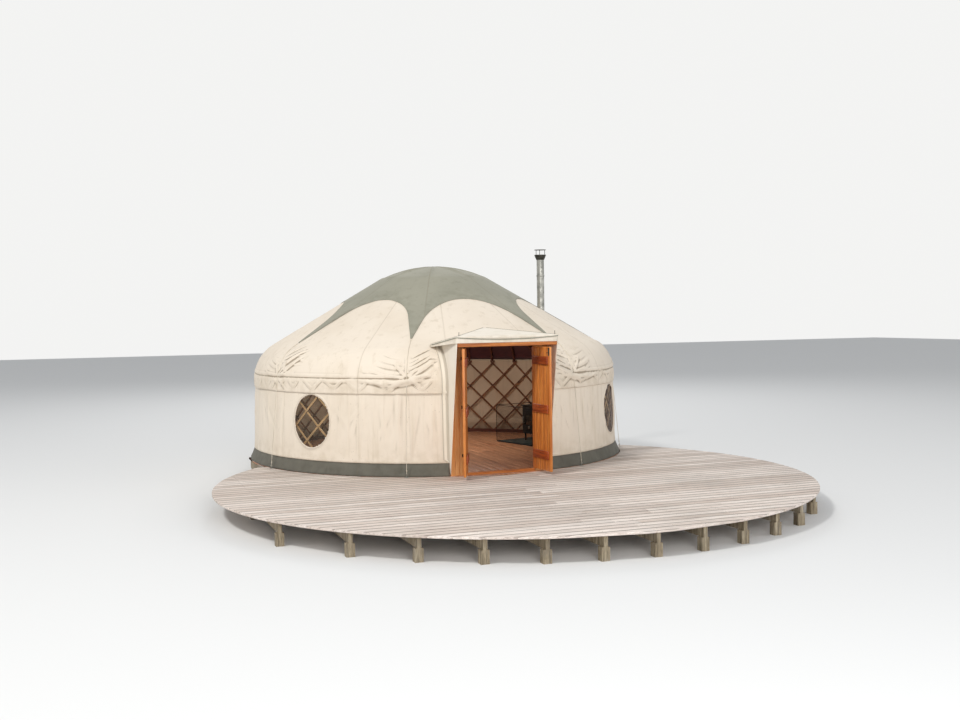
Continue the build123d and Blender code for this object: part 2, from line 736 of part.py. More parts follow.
with BuildPart() as rope_anchors:
    for azimuth in STAR_TIPS:
        if on_deck(azimuth):
            spot = out_along(azimuth) * anchor_radius
            with BuildSketch(Plane(origin=spot + Vector(0, 0, level(CLEAR)), x_dir=out_along(azimuth), z_dir=(0, 0, 1))):
                Rectangle(ANCHOR_SIDE, ANCHOR_SIDE)
            extrude(amount=ANCHOR_THICK)
            with BuildSketch(Plane(origin=spot + Vector(0, 0, level(CLEAR + ANCHOR_THICK)), z_dir=(0, 0, 1))):
                Circle(EYE_WIRE / 2)
            extrude(amount=EYE_HEIGHT - eye_clear)
        else:
            spot = out_along(azimuth) * (PLATFORM_RADIUS + CLEAR) + Vector(0, 0, rim_top - ANCHOR_DROP)
            with BuildSketch(Plane(origin=spot, x_dir=(0, 0, 1), z_dir=out_along(azimuth))):
                Circle(ANCHOR_SIDE / 2)
            extrude(amount=ANCHOR_THICK)
            with BuildSketch(Plane(origin=spot, x_dir=(0, 0, 1), z_dir=out_along(azimuth))):
                Circle(EYE_WIRE / 2)
            extrude(amount=ANCHOR_OUT)
export(rope_anchors, "rope_anchors")

# Doorway frame
frame_back = -WALL_PLANE + POST_DEPTH


def upright_box(x_low, x_high, y_low, y_high, z_low, z_high):
    """A squared timber between two corners, in the open builder."""
    with Locations(((x_low + x_high) / 2, (y_low + y_high) / 2, (z_low + z_high) / 2)):
        Box(x_high - x_low, y_high - y_low, z_high - z_low)


with BuildPart() as door_posts:
    for side in (-1, 1):
        inner, outer = sorted((side * OPENING_HALF, side * POST_OUTER))
        upright_box(inner, outer, -WALL_PLANE, frame_back, level(0), level(OPENING_TOP))
export(door_posts, "door_posts")

with BuildPart() as door_head:
    upright_box(
        -POST_OUTER, POST_OUTER, -WALL_PLANE, frame_back, level(OPENING_TOP) + CLEAR, level(OPENING_TOP + HEAD_HEIGHT)
    )
export(door_head, "door_head")

with BuildPart() as door_sill:
    upright_box(
        -OPENING_HALF + CLEAR, OPENING_HALF - CLEAR, -WALL_PLANE - 20, frame_back + 20, level(0), level(SILL_HEIGHT)
    )
export(door_sill, "door_sill")

# Porch rail on two arms, with the hood's corner pegs
rail_front = -WALL_PLANE - HOOD_REACH + HOOD_CLOTH + CLEAR
with BuildPart() as porch_arms:
    for side in (-1, 1):
        inner, outer = sorted((side * (HOOD_HALF - ARM_WIDTH), side * HOOD_HALF))
        upright_box(
            inner, outer, rail_front + RAIL_THICK + CLEAR, -WALL_PLANE - CLEAR,
            level(OPENING_TOP + HEAD_HEIGHT + ARM_RISE - ARM_DEPTH), level(OPENING_TOP + HEAD_HEIGHT + ARM_RISE),
        )
export(porch_arms, "porch_arms")

with BuildPart() as porch_rail:
    upright_box(-HOOD_HALF, HOOD_HALF, rail_front, rail_front + RAIL_THICK, level(RAIL_LOW), level(RAIL_TOP))
export(porch_rail, "porch_rail")

with BuildPart() as hood_pegs:
    with BuildSketch(Plane.XY.offset(level(RAIL_TOP) + CLEAR)):
        with GridLocations(2 * (HOOD_HALF - PEG_INSET), 0, 2, 1):
            with Locations((0, rail_front + RAIL_THICK / 2)):
                Circle(PEG_RADIUS)
    extrude(amount=PEG_TOP - RAIL_TOP)
export(hood_pegs, "hood_pegs")

# Hood canvas: a top sheet, two side sheets and a front valance
front_y = rail_front - CLEAR
hood_top = level(RAIL_TOP) + CLEAR
apex = Vector(0, -HOOD_APEX_RADIUS, level(HOOD_APEX_LEVEL))
tails = [Vector(side * HOOD_TAIL_X, HOOD_TAIL_Y, level(HOOD_TAIL_LEVEL)) for side in (-1, 1)]
corner_x = HOOD_HALF + HOOD_CLOTH + HOOD_SIDE_LAP


def sheet(points, thickness):
    """A flat sheet through three points, lying on them and standing up by its thickness."""
    a, b, c = points
    normal = (b - a).cross(c - a).normalized()
    if normal.Z < 0:
        normal = normal * -1
    plane = Plane(origin=a, x_dir=(b - a).normalized(), z_dir=normal)
    with BuildSketch(plane) as outline:
        with BuildLine():
            Polyline(*[plane.to_local_coords(point) for point in (a, b, c)], close=True)
        make_face()
    extrude(outline.sketch, amount=thickness)


peg_hole = PEG_RADIUS + PEG_PLAY
with BuildPart() as hood_canvas:
    corners = [Vector(side * corner_x, front_y, hood_top) for side in (-1, 1)]
    sheet((corners[0], corners[1], apex), HOOD_CLOTH)
    for corner, tail in zip(corners, tails):
        away = Vector(HOOD_FOLD / 2 if corner.X > 0 else -HOOD_FOLD / 2, 0, HOOD_FOLD)
        sheet((corner + away, tail + away, apex + Vector(away.X * 3, HOOD_FOLD, HOOD_FOLD)), HOOD_CLOTH)
    with BuildSketch(Plane.XY.offset(level(RAIL_TOP))):
        with GridLocations(2 * (HOOD_HALF - PEG_INSET), 0, 2, 1):
            with Locations((0, rail_front + RAIL_THICK / 2)):
                Circle(peg_hole)
    extrude(amount=PEG_TOP, mode=Mode.SUBTRACT)
    upright_box(-corner_x, corner_x, front_y - HOOD_CLOTH, front_y, level(RAIL_TOP - VALANCE_DEPTH), hood_top - CLEAR)
export(hood_canvas, "hood_canvas")

wing_back = [(-radius, level(height)) for height, radius in WING_BACK]
wing_outline = [
    (-WALL_PLANE - CLEAR, level(WING_FOOT)), (front_y, level(RAIL_TOP - VALANCE_DEPTH)),
    (front_y, hood_top - 2 * CLEAR),
    *wing_back[::-1], (wing_back[0][0], level(WING_FOOT)),
]
with BuildPart() as hood_wings:
    for side in (-1, 1):
        near = POST_OUTER + CLEAR if side > 0 else -POST_OUTER - CLEAR - HOOD_CLOTH
        with BuildSketch(Plane(origin=(near, 0, 0), x_dir=(0, 1, 0), z_dir=(1, 0, 0))):
            with BuildLine():
                Polyline(*wing_outline, close=True)
            make_face()
        extrude(amount=HOOD_CLOTH)
export(hood_wings, "hood_wings")

# Door leaves, drawn closed and then swung open about their hinges
hinge_y = -WALL_PLANE - HINGE_RADIUS
leaf_high = level(LEAF_TOP)
leaf_low = level(LEAF_FOOT)


def swing(side, angle):
    """The turn from closed to open about a hinge, as a location for a finished leaf."""
    hinge = Vector(side * OPENING_HALF, hinge_y, 0)
    return Location(hinge) * Location((0, 0, 0), (0, 0, side * angle)) * Location(-hinge)


def leaf_pieces(side):
    """A leaf, its ledges and its half of the hinges, closed."""
    far, near = side * MOVING_CLEAR / 2, side * (OPENING_HALF - MOVING_CLEAR)
    x_low, x_high = sorted((far, near))
    leaf_back = -WALL_PLANE + LEAF_THICK
    with BuildPart() as leaf:
        upright_box(x_low, x_high, -WALL_PLANE, leaf_back, leaf_low, leaf_high)
    with BuildPart() as ledges:
        for height in LEDGE_LEVELS:
            upright_box(
                x_low + 40, x_high - 40, leaf_back + CLEAR, leaf_back + LEDGE_THICK, level(height),
                level(height + LEDGE_HEIGHT),
            )
    with BuildPart() as hinges:
        for height in HINGE_LEVELS:
            middle = level(height) + HINGE_HEIGHT / 2
            with BuildSketch(Plane.XY.offset(middle + CLEAR)):
                with Locations((side * OPENING_HALF, hinge_y)):
                    Circle(HINGE_RADIUS)
                with Locations((side * (OPENING_HALF - HINGE_REACH / 2 - 4), -WALL_PLANE - HINGE_PLATE / 2 - CLEAR)):
                    Rectangle(HINGE_REACH - 8, HINGE_PLATE)
                with Locations((side * (OPENING_HALF - HINGE_RADIUS), -WALL_PLANE - HINGE_PLATE / 2 - CLEAR)):
                    Rectangle(2 * HINGE_RADIUS, HINGE_PLATE)
            extrude(amount=HINGE_HEIGHT / 2 - CLEAR)
    return leaf, ledges, hinges


for side, name, angle in ((-1, "left", LEFT_OPEN), (1, "right", RIGHT_OPEN)):
    for piece, kind in zip(leaf_pieces(side), ("leaf", "ledges", "hinges")):
        with BuildPart() as swung:
            add(piece.part.moved(swing(side, angle)))
        export(swung, f"{kind}_{name}")

with BuildPart() as hinges_frame:
    for side in (-1, 1):
        for height in HINGE_LEVELS:
            with BuildSketch(Plane.XY.offset(level(height))):
                with Locations((side * OPENING_HALF, hinge_y)):
                    Circle(HINGE_RADIUS)
                with Locations((side * (OPENING_HALF + HINGE_REACH / 2), -WALL_PLANE - HINGE_PLATE / 2 - CLEAR)):
                    Rectangle(HINGE_REACH, HINGE_PLATE)
            extrude(amount=HINGE_HEIGHT / 2 - CLEAR)
export(hinges_frame, "hinges_frame")

# Stove corner
with BuildPart() as hearth:
    with BuildSketch(stove_plane((HEARTH_NEAR + HEARTH_FAR) / 2, STOVE_ALONG, level(0))):
        Rectangle(HEARTH_FAR - HEARTH_NEAR, 2 * HEARTH_HALF)
    extrude(amount=HEARTH_THICK)
export(hearth, "hearth")

hearth_top = level(HEARTH_THICK)
with BuildPart() as stove_body:
    with BuildSketch(stove_plane(STOVE_OUT, STOVE_ALONG, level(STOVE_FOOT))):
        RectangleRounded(STOVE_LENGTH, STOVE_WIDTH, STOVE_CORNER)
    extrude(amount=STOVE_TOP - STOVE_FOOT - STOVE_PLATE)
    with BuildSketch(stove_plane(STOVE_OUT, STOVE_ALONG, level(STOVE_TOP - STOVE_PLATE))):
        RectangleRounded(STOVE_LENGTH + 2 * PLATE_LAP, STOVE_WIDTH + 2 * PLATE_LAP, STOVE_CORNER + PLATE_LAP / 2)
    extrude(amount=STOVE_PLATE)
export(stove_body, "stove_body")

with BuildPart() as stove_legs:
    with BuildSketch(stove_plane(STOVE_OUT, STOVE_ALONG, hearth_top)):
        with GridLocations(STOVE_LENGTH - 2 * LEG_INSET, STOVE_WIDTH - 2 * LEG_INSET, 2, 2):
            Circle(LEG_RADIUS)
    extrude(amount=level(STOVE_FOOT) - hearth_top - CLEAR)
export(stove_legs, "stove_legs")

door_face = STOVE_OUT - STOVE_LENGTH / 2 - CLEAR
with BuildPart() as stove_door:
    middle = (STOVE_FOOT + STOVE_TOP - STOVE_PLATE) / 2
    face = Plane(origin=stove_out * door_face + stove_along * STOVE_ALONG + Vector(0, 0, level(middle)),
                 x_dir=stove_along * -1, z_dir=stove_out * -1)
    with BuildSketch(face):
        RectangleRounded(*STOVE_DOOR)
    extrude(amount=STOVE_DOOR_THICK)
    with BuildSketch(face.offset(STOVE_DOOR_THICK)):
        RectangleRounded(*STOVE_GLASS)
    extrude(amount=-GLASS_DEPTH, mode=Mode.SUBTRACT)
export(stove_door, "stove_door")

with BuildPart() as flue_pipe:
    with BuildSketch(Plane.XY.offset(level(STOVE_TOP) + CLEAR)):
        with Locations((flue_axis.X, flue_axis.Y)):
            Circle(FLUE_RADIUS)
            Circle(FLUE_RADIUS - FLUE_WALL, mode=Mode.SUBTRACT)
    extrude(amount=FLUE_TOP - STOVE_TOP)
export(flue_pipe, "flue_pipe")

with BuildPart() as flue_cowl:
    with BuildSketch(Plane(origin=(flue_axis.X, flue_axis.Y, 0), x_dir=(1, 0, 0), z_dir=(0, -1, 0))):
        with BuildLine():
            inner = FLUE_RADIUS + CLEAR
            Polyline(
                (inner, level(FLUE_TOP - COWL_SLEEVE)), (inner + COWL_WALL, level(FLUE_TOP - COWL_SLEEVE)),
                (COWL_RADIUS, level(FLUE_TOP + COWL_FLARE)),
                (COWL_RADIUS - COWL_WALL, level(FLUE_TOP + COWL_FLARE + COWL_LID)),
                (inner, level(FLUE_TOP - COWL_SLEEVE / 2)), close=True,
            )
        make_face()
    revolve(axis=Axis((flue_axis.X, flue_axis.Y, 0), (0, 0, 1)))
    with BuildSketch(Plane.XY.offset(level(FLUE_TOP + COWL_LID))):
        with Locations((flue_axis.X, flue_axis.Y)):
            with PolarLocations(COWL_RADIUS - COWL_POST_INSET, 3):
                Circle(COWL_POST)
    extrude(amount=COWL_TOP - FLUE_TOP - 3 * COWL_LID / 2)
    with BuildSketch(Plane.XY.offset(level(COWL_TOP - COWL_LID))):
        with Locations((flue_axis.X, flue_axis.Y)):
            Circle(COWL_RADIUS)
    extrude(amount=COWL_LID)
export(flue_cowl, "flue_cowl")

flue_azimuth = degrees(atan2(flue_axis.X, -flue_axis.Y))
flue_radius = hypot(flue_axis.X, flue_axis.Y)
roof_normal = out_along(flue_azimuth) * sin(slope) + Vector(0, 0, cos(slope))
flue_exit = out_along(flue_azimuth) * flue_radius + Vector(0, 0, slope_level(flue_radius, -CLEAR))
with BuildPart() as flue_flashing:
    with BuildSketch(Plane(origin=flue_exit + roof_normal * 4, z_dir=roof_normal)):
        Circle(FLASHING_RADIUS)
    extrude(amount=6)
    with BuildSketch(Plane.XY.offset(flue_exit.Z - 20)):
        with Locations((flue_axis.X, flue_axis.Y)):
            Circle(FLUE_RADIUS + FLUE_COLLAR)
    extrude(amount=130)
    with BuildSketch(Plane.XY.offset(level(0))):
        with Locations((flue_axis.X, flue_axis.Y)):
            Circle(FLUE_RADIUS + CLEAR)
    extrude(amount=DOME_TOP, mode=Mode.SUBTRACT)
export(flue_flashing, "flue_flashing")

with BuildPart() as fire_guard:
    guard_low = level(CLEAR)
    guard_near = HEARTH_NEAR - GUARD_STAND_OFF
    guard_half = HEARTH_HALF + GUARD_STAND_OFF
    length = GUARD_FAR - guard_near
    for along, out, turned, width in (
        (0, guard_near, False, 2 * guard_half), (guard_half, guard_near + length / 2, True, length),
        (-guard_half, guard_near + length / 2, True, length),
    ):
        origin = stove_out * out + stove_along * (STOVE_ALONG + along) + Vector(0, 0, guard_low + GUARD_HEIGHT / 2)
        across = stove_out if turned else stove_along
        panel = Plane(origin=origin, x_dir=across, z_dir=across.cross(Vector(0, 0, 1)))
        with BuildSketch(panel):
            Rectangle(width + GUARD_BAR, GUARD_HEIGHT)
            Rectangle(width - GUARD_BAR, GUARD_HEIGHT - 2 * GUARD_BAR, mode=Mode.SUBTRACT)
        extrude(amount=GUARD_BAR / 2, both=True)
        with BuildSketch(panel):
            Rectangle(width, GUARD_HEIGHT - GUARD_BAR)
        extrude(amount=GUARD_MESH / 2, both=True)
export(fire_guard, "fire_guard")
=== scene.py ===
"""A round canvas yurt on its round deck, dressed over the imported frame.

Everything is in metres, with the middle of the yurt over the origin and the doorway facing -Y.
An azimuth runs from -Y towards +X, in degrees.
"""

import math
import random

import bmesh
import bpy
from mathutils import Matrix, Vector, noise


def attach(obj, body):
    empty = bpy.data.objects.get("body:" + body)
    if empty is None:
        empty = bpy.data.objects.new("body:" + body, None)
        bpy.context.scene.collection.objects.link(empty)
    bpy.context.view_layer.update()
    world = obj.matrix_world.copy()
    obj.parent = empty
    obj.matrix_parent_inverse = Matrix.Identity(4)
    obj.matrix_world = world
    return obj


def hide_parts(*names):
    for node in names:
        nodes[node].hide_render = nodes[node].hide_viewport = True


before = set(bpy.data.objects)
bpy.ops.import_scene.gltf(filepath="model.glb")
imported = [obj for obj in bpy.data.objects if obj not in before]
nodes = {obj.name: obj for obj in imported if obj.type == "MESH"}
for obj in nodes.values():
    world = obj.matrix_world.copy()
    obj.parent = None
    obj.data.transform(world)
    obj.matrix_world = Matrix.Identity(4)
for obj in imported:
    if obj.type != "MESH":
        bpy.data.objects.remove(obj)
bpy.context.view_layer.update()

# Sizes that the cloths, boards and ropes share with the frame
DECK = 0.300
DECK_RADIUS, DECK_MIDDLE, BOARD = 4.100, -3.430, 0.028
DECK_PITCH, DECK_GAP = 0.150, 0.009
PLATFORM = 3.072
WALL_TOP, WALL_HEM = (2.959, DECK + 1.400), (3.000, DECK + 0.180)
DOOR_EDGE = 14.6
WINDOWS, WINDOW_WIDE, WINDOW_LOW, WINDOW_HIGH = (-56.0, 51.0), 0.705, DECK + 0.365, DECK + 1.145
EAVE, EAVE_MIDDLE, EAVE_BEND = 2.981, (2.342, DECK + 1.288), 0.639
HEM, FOLD, SLOPE, RING = DECK + 1.1675, 0.222, math.radians(30.4), 0.859
DOME_TOP = DECK + 3.090
STAR_TIPS = {-125.75: 2.5, -71.5: 2.6, -26.0: 2.5, 26.0: 2.5, 71.5: 2.6, 125.75: 2.5, 180.0: 2.5}
LATTICE, BAR_THICK, HALF_PITCH, ROW, LATTICE_FOOT = 2.952, 0.010, 4.5, 0.2178, DECK + 0.0226
CROSSINGS, ROWS = 74, 6
WALL_PLANE, OPENING, POST_OUTER = -2.950, 0.540, 0.756
STOVE_TURN, FLUE_OUT, STOVE_ALONG = math.radians(14.5), 2.137, -0.185

# The roof's line, worked out from its eave and its slope
EAVE_RISE, BEND_END = EAVE_MIDDLE[1] - HEM, math.pi / 2 - SLOPE
SLOPE_START = EAVE_MIDDLE[0] + EAVE_BEND * math.sin(SLOPE)
SLOPE_REACH = EAVE_MIDDLE[0] * math.sin(SLOPE) + EAVE_MIDDLE[1] * math.cos(SLOPE) + EAVE_BEND
ROOF_REACH = EAVE_RISE + BEND_END * EAVE_BEND + (SLOPE_START - RING) / math.cos(SLOPE)


# Finishes


def srgb(red, green, blue):
    """A colour read off a screen, as the shader wants it."""
    linear = [c / 255 / 12.92 if c <= 10 else ((c / 255 + 0.055) / 1.055) ** 2.4 for c in (red, green, blue)]
    return (*linear, 1.0)


def finish(name, rough, metal=0.0, **sockets):
    """An empty finish: its tree and its shader, ready to be wired."""
    material = bpy.data.materials.new(name)
    material.use_nodes = True
    shader = material.node_tree.nodes["Principled BSDF"]
    shader.inputs["Roughness"].default_value = rough
    shader.inputs["Metallic"].default_value = metal
    for socket, value in sockets.items():
        shader.inputs[socket.replace("_", " ")].default_value = value
    return material, material.node_tree, shader


def step(tree, kind, settings=None, **inputs):
    """A node with its sockets set or joined; a socket may be named or numbered as i0, i1 and so on."""
    made = tree.nodes.new(kind)
    for key, value in (settings or {}).items():
        setattr(made, key, value)
    for key, value in inputs.items():
        numbered = key[0] == "i" and key[1:].isdigit()
        socket = made.inputs[int(key[1:]) if numbered else key.replace("_", " ")]
        if isinstance(value, bpy.types.NodeSocket):
            tree.links.new(value, socket)
        else:
            socket.default_value = value
    return made


def wire(tree, kind, settings=None, **inputs):
    """A shader's node."""
    return step(tree, "ShaderNode" + kind, settings, **inputs)


def sums(tree, operation, first, second=0.0, third=0.0):
    """The result of one sum on numbers or sockets."""
    return wire(tree, "Math", {"operation": operation}, i0=first, i1=second, i2=third).outputs[0]


def between(tree, value, low, high, to_low=0.0, to_high=1.0):
    """A value spread smoothly from one range to another."""
    node = wire(tree, "MapRange", {"interpolation_type": "SMOOTHSTEP"}, Value=value, From_Min=low,
                From_Max=high, To_Min=to_low, To_Max=to_high)
    return node.outputs["Result"]


def blotch(tree, vector, scale, detail=4.0, rough=0.55):
    return wire(tree, "TexNoise", Vector=vector, Scale=scale, Detail=detail, Roughness=rough).outputs["Fac"]


def mixed(tree, share, first, second, kind="MIX"):
    """Two colours mixed by a share."""
    settings = {"data_type": "RGBA", "blend_type": kind}
    return wire(tree, "Mix", settings, i0=share, i6=first, i7=second).outputs[2]


def stretched(tree, vector, scale):
    return wire(tree, "Mapping", Vector=vector, Scale=scale).outputs["Vector"]


def relief(tree, shader, height, depth, strength):
    bump = wire(tree, "Bump", Height=height, Distance=depth, Strength=strength)
    tree.links.new(bump.outputs["Normal"], shader.inputs["Normal"])


def timber(name, light, middle, dark, grain, rough, worn=0.0, knots=0.5, coat=0.0, tones=0.32, joints=None,
           outside=None):
    """Sawn timber: growth lines along the grain, board by board tones, knots and greyed patches.

    The joints are the first board's edge, the pitch in Y and how dark the boards' edges are. The outside is a
    paler colour painted on faces that look away from the room, as painted light from outside.
    """
    material, tree, shader = finish(name, rough, Coat_Weight=coat, Coat_Roughness=0.3)
    place = wire(tree, "TexCoord").outputs["Object"]
    tone = wire(tree, "Attribute", {"attribute_name": "tone"}).outputs["Fac"]
    shifted = wire(tree, "VectorMath", {"operation": "ADD"}, i0=place,
                   i1=wire(tree, "CombineXYZ", X=sums(tree, "MULTIPLY", tone, 7.3),
                           Y=sums(tree, "MULTIPLY", tone, 3.1),
                           Z=sums(tree, "MULTIPLY", tone, 5.7)).outputs[0])
    along = stretched(tree, shifted.outputs[0], grain)
    lines = blotch(tree, along, 2.2, 5.0, 0.6)
    fibres = blotch(tree, along, 11.0, 3.0, 0.7)
    ramp = wire(tree, "ValToRGB", Fac=lines)
    ramp.color_ramp.elements[0].position, ramp.color_ramp.elements[0].color = 0.32, dark
    ramp.color_ramp.elements[1].position, ramp.color_ramp.elements[1].color = 0.68, light
    ramp.color_ramp.elements.new(0.5).color = middle
    colour = mixed(tree, between(tree, fibres, 0.42, 0.62, 0.0, 0.5), ramp.outputs["Color"], dark)
    colour = mixed(tree, between(tree, tone, 0.35, 1.0, 0.0, tones), colour, dark, "MULTIPLY")
    if knots:
        eye = wire(tree, "TexVoronoi", Vector=stretched(tree, shifted.outputs[0], [g ** 0.5 for g in grain]),
                   Scale=1.7).outputs["Distance"]
        colour = mixed(tree, between(tree, eye, 0.09, 0.03, 0.0, knots), colour, dark)
    if worn:
        patch = blotch(tree, shifted.outputs[0], 1.6, 6.0, 0.65)
        colour = mixed(tree, between(tree, patch, 0.45, 0.72, 0.0, worn), colour, srgb(196, 190, 182))
        colour = mixed(tree, between(tree, blotch(tree, place, 0.55, 4.0), 0.5, 0.75, 0.0, 0.2), colour,
                       srgb(126, 120, 108))
    if outside:
        # Painted light: faces that look away from the room are made paler, as if lit from outside
        out = wire(tree, "VectorMath", {"operation": "NORMALIZE"},
                   i0=wire(tree, "VectorMath", {"operation": "MULTIPLY"}, i0=place, i1=(1, 1, 0)).outputs[0])
        away = wire(tree, "VectorMath", {"operation": "DOT_PRODUCT"}, i0=out.outputs[0],
                    i1=wire(tree, "NewGeometry").outputs["Normal"])
        colour = mixed(tree, between(tree, away.outputs["Value"], 0.5, 0.8, 0.0, 0.8), colour, outside)
    if joints:
        row = wire(tree, "SeparateXYZ", Vector=place).outputs["Y"]
        inset = sums(tree, "PINGPONG", sums(tree, "SUBTRACT", row, joints[0]), joints[1] / 2)
        facing = wire(tree, "SeparateXYZ", Vector=wire(tree, "NewGeometry").outputs["Normal"]).outputs["Z"]
        edge = sums(tree, "MULTIPLY", between(tree, inset, 0.020, 0.007), between(tree, facing, 0.2, 0.5))
        colour = mixed(tree, sums(tree, "MULTIPLY", edge, joints[2]), colour, srgb(92, 80, 70))
    tree.links.new(colour, shader.inputs["Base Color"])
    tree.links.new(between(tree, fibres, 0.3, 0.7, rough - 0.08, rough + 0.12), shader.inputs["Roughness"])
    relief(tree, shader, fibres, 0.0012, 0.5)
    return material


# The painted shade laid in creases and along seam edges, and how many threads and stitches there are to a
# metre
PAINTED_SHADE, THREADS, STITCHES = srgb(128, 110, 84), 620.0, 130.0


def stitch_row(tree, off, inset, along):
    """A row of stitches at an inset from an edge, by the distances off and along that edge."""
    row = sums(tree, "LESS_THAN", sums(tree, "ABSOLUTE", sums(tree, "SUBTRACT", off, inset)), 0.0016)
    run = sums(tree, "FRACT", sums(tree, "MULTIPLY", along, STITCHES))
    return sums(tree, "MULTIPLY", row, sums(tree, "LESS_THAN", run, 0.62))


def canvas(name, clean, shade, stain, mildew=0.0, stitched=True, sheen=0.05, crease_shade=0.0, seam_shade=0.2):
    """Proofed canvas: a woven face, soft stains and runs of rain, seams with two rows of stitches and a hem.

    The cloth map gives metres to the nearest seam, and metres up from the hem.
    """
    material, tree, shader = finish(name, 0.82, Sheen_Weight=sheen, Sheen_Roughness=0.6)
    place = wire(tree, "TexCoord").outputs["Object"]
    flat = wire(tree, "UVMap", {"uv_map": "cloth"}).outputs["UV"]
    parts = wire(tree, "SeparateXYZ", Vector=flat)
    across, up = sums(tree, "ABSOLUTE", parts.outputs["X"]), parts.outputs["Y"]
    cloud = blotch(tree, place, 1.1, 5.0, 0.6)
    colour = mixed(tree, between(tree, cloud, 0.38, 0.7, 0.0, 0.55), clean, shade)
    runs = blotch(tree, stretched(tree, place, (9.0, 9.0, 0.7)), 1.0, 4.0, 0.6)
    colour = mixed(tree, between(tree, runs, 0.52, 0.78, 0.0, 0.4), colour, stain)
    near_hem = between(tree, up, 0.34, 0.0, 0.0, 1.0)
    grime = sums(tree, "MULTIPLY", near_hem, between(tree, blotch(tree, place, 7.0, 5.0), 0.35, 0.7))
    colour = mixed(tree, sums(tree, "MULTIPLY", grime, 0.4), colour, stain)
    # Painted shade: creases that curve inwards, found by their pointiness, are darkened as if shade fell in
    # them
    bent = wire(tree, "NewGeometry").outputs["Pointiness"]
    colour = mixed(tree, between(tree, bent, 0.4985, 0.475, 0.0, crease_shade), colour, PAINTED_SHADE)
    if mildew:
        spot = wire(tree, "TexVoronoi", Vector=place, Scale=19.0, Randomness=1.0).outputs["Distance"]
        where = between(tree, blotch(tree, place, 1.7, 3.0), 0.52, 0.66)
        speck = sums(tree, "MULTIPLY", between(tree, spot, 0.16, 0.08), where)
        colour = mixed(tree, sums(tree, "MULTIPLY", speck, mildew), colour, srgb(150, 140, 116))
    threads = wire(tree, "TexNoise", Vector=place, Scale=THREADS, Detail=1.0).outputs["Fac"]
    height = threads
    if stitched:
        lap = between(tree, across, 0.016, 0.012)
        hem = between(tree, up, 0.034, 0.030)
        raised = sums(tree, "MAXIMUM", lap, hem)
        stitches = sums(tree, "MAXIMUM", stitch_row(tree, across, 0.009, up),
                        stitch_row(tree, up, 0.026, wire(tree, "SeparateXYZ", Vector=place).outputs["X"]))
        colour = mixed(tree, sums(tree, "MULTIPLY", raised, 0.12), colour, shade)
        colour = mixed(tree, sums(tree, "MULTIPLY", stitches, 0.28), colour, stain)
        # Painted shade: a thin dark line along each seam's edge, standing in for the shadow of the lapped
        # cloth
        colour = mixed(tree, between(tree, across, 0.009, 0.004, 0.0, seam_shade), colour, PAINTED_SHADE)
        height = sums(tree, "ADD", sums(tree, "MULTIPLY", threads, 0.12),
                      sums(tree, "SUBTRACT", raised, sums(tree, "MULTIPLY", stitches, 0.4)))
    tree.links.new(colour, shader.inputs["Base Color"])
    relief(tree, shader, height, 0.0016, 0.6)
    return material


def metal(name, light, dark, rough, metallic, scale=6.0, spots=0.4):
    """Bare or painted metal with cloudy tones and scuffs."""
    material, tree, shader = finish(name, rough, metallic)
    place = wire(tree, "TexCoord").outputs["Object"]
    cloud = blotch(tree, place, scale, 6.0, 0.65)
    grit = blotch(tree, place, scale * 14, 3.0, 0.6)
    colour = mixed(tree, between(tree, cloud, 0.35, 0.68), light, dark)
    colour = mixed(tree, between(tree, grit, 0.58, 0.72, 0.0, spots), colour, dark)
    tree.links.new(colour, shader.inputs["Base Color"])
    tree.links.new(between(tree, cloud, 0.3, 0.7, rough - 0.1, rough + 0.14), shader.inputs["Roughness"])
    relief(tree, shader, grit, 0.0006, 0.35)
    return material


DECKING = timber("weathered_decking", srgb(255, 246, 237), srgb(242, 230, 220), srgb(190, 175, 164),
                 (0.7, 22, 22), 0.75, worn=0.35, knots=0.25, tones=0.45,
                 joints=(DECK_MIDDLE - DECK_RADIUS - DECK_GAP / 2, DECK_PITCH, 0.75))
UNDERFRAME = timber("weathered_underframe", srgb(186, 172, 146), srgb(150, 136, 112), srgb(92, 80, 62),
                    (14, 14, 1.2), 0.8, worn=0.3, knots=0.3)
FLOOR = timber("oiled_floor", srgb(230, 172, 130), srgb(206, 146, 106), srgb(150, 96, 66),
               (16, 0.7, 16), 0.42, coat=0.15)
PINE = timber("oiled_pine", srgb(240, 164, 82), srgb(220, 134, 58), srgb(166, 88, 34),
              (20, 20, 0.8), 0.4, knots=0.75, coat=0.25)
# Pale pine for the door posts, made lighter still as painted light for the sun that the hood and wing keep
# off them
PALE_PINE_LIT = timber("pale_pine", srgb(255, 222, 162), srgb(253, 203, 136), srgb(230, 170, 104),
                   (20, 20, 0.8), 0.45, coat=0.2)
PINE_ACROSS = timber("oiled_pine_across", srgb(228, 148, 70), srgb(204, 120, 48), srgb(146, 76, 28),
                     (0.8, 20, 20), 0.42, coat=0.25)
LEDGE = timber("red_ledge_timber", srgb(196, 98, 40), srgb(172, 78, 30), srgb(116, 46, 18),
               (14, 1.0, 18), 0.4, coat=0.25)
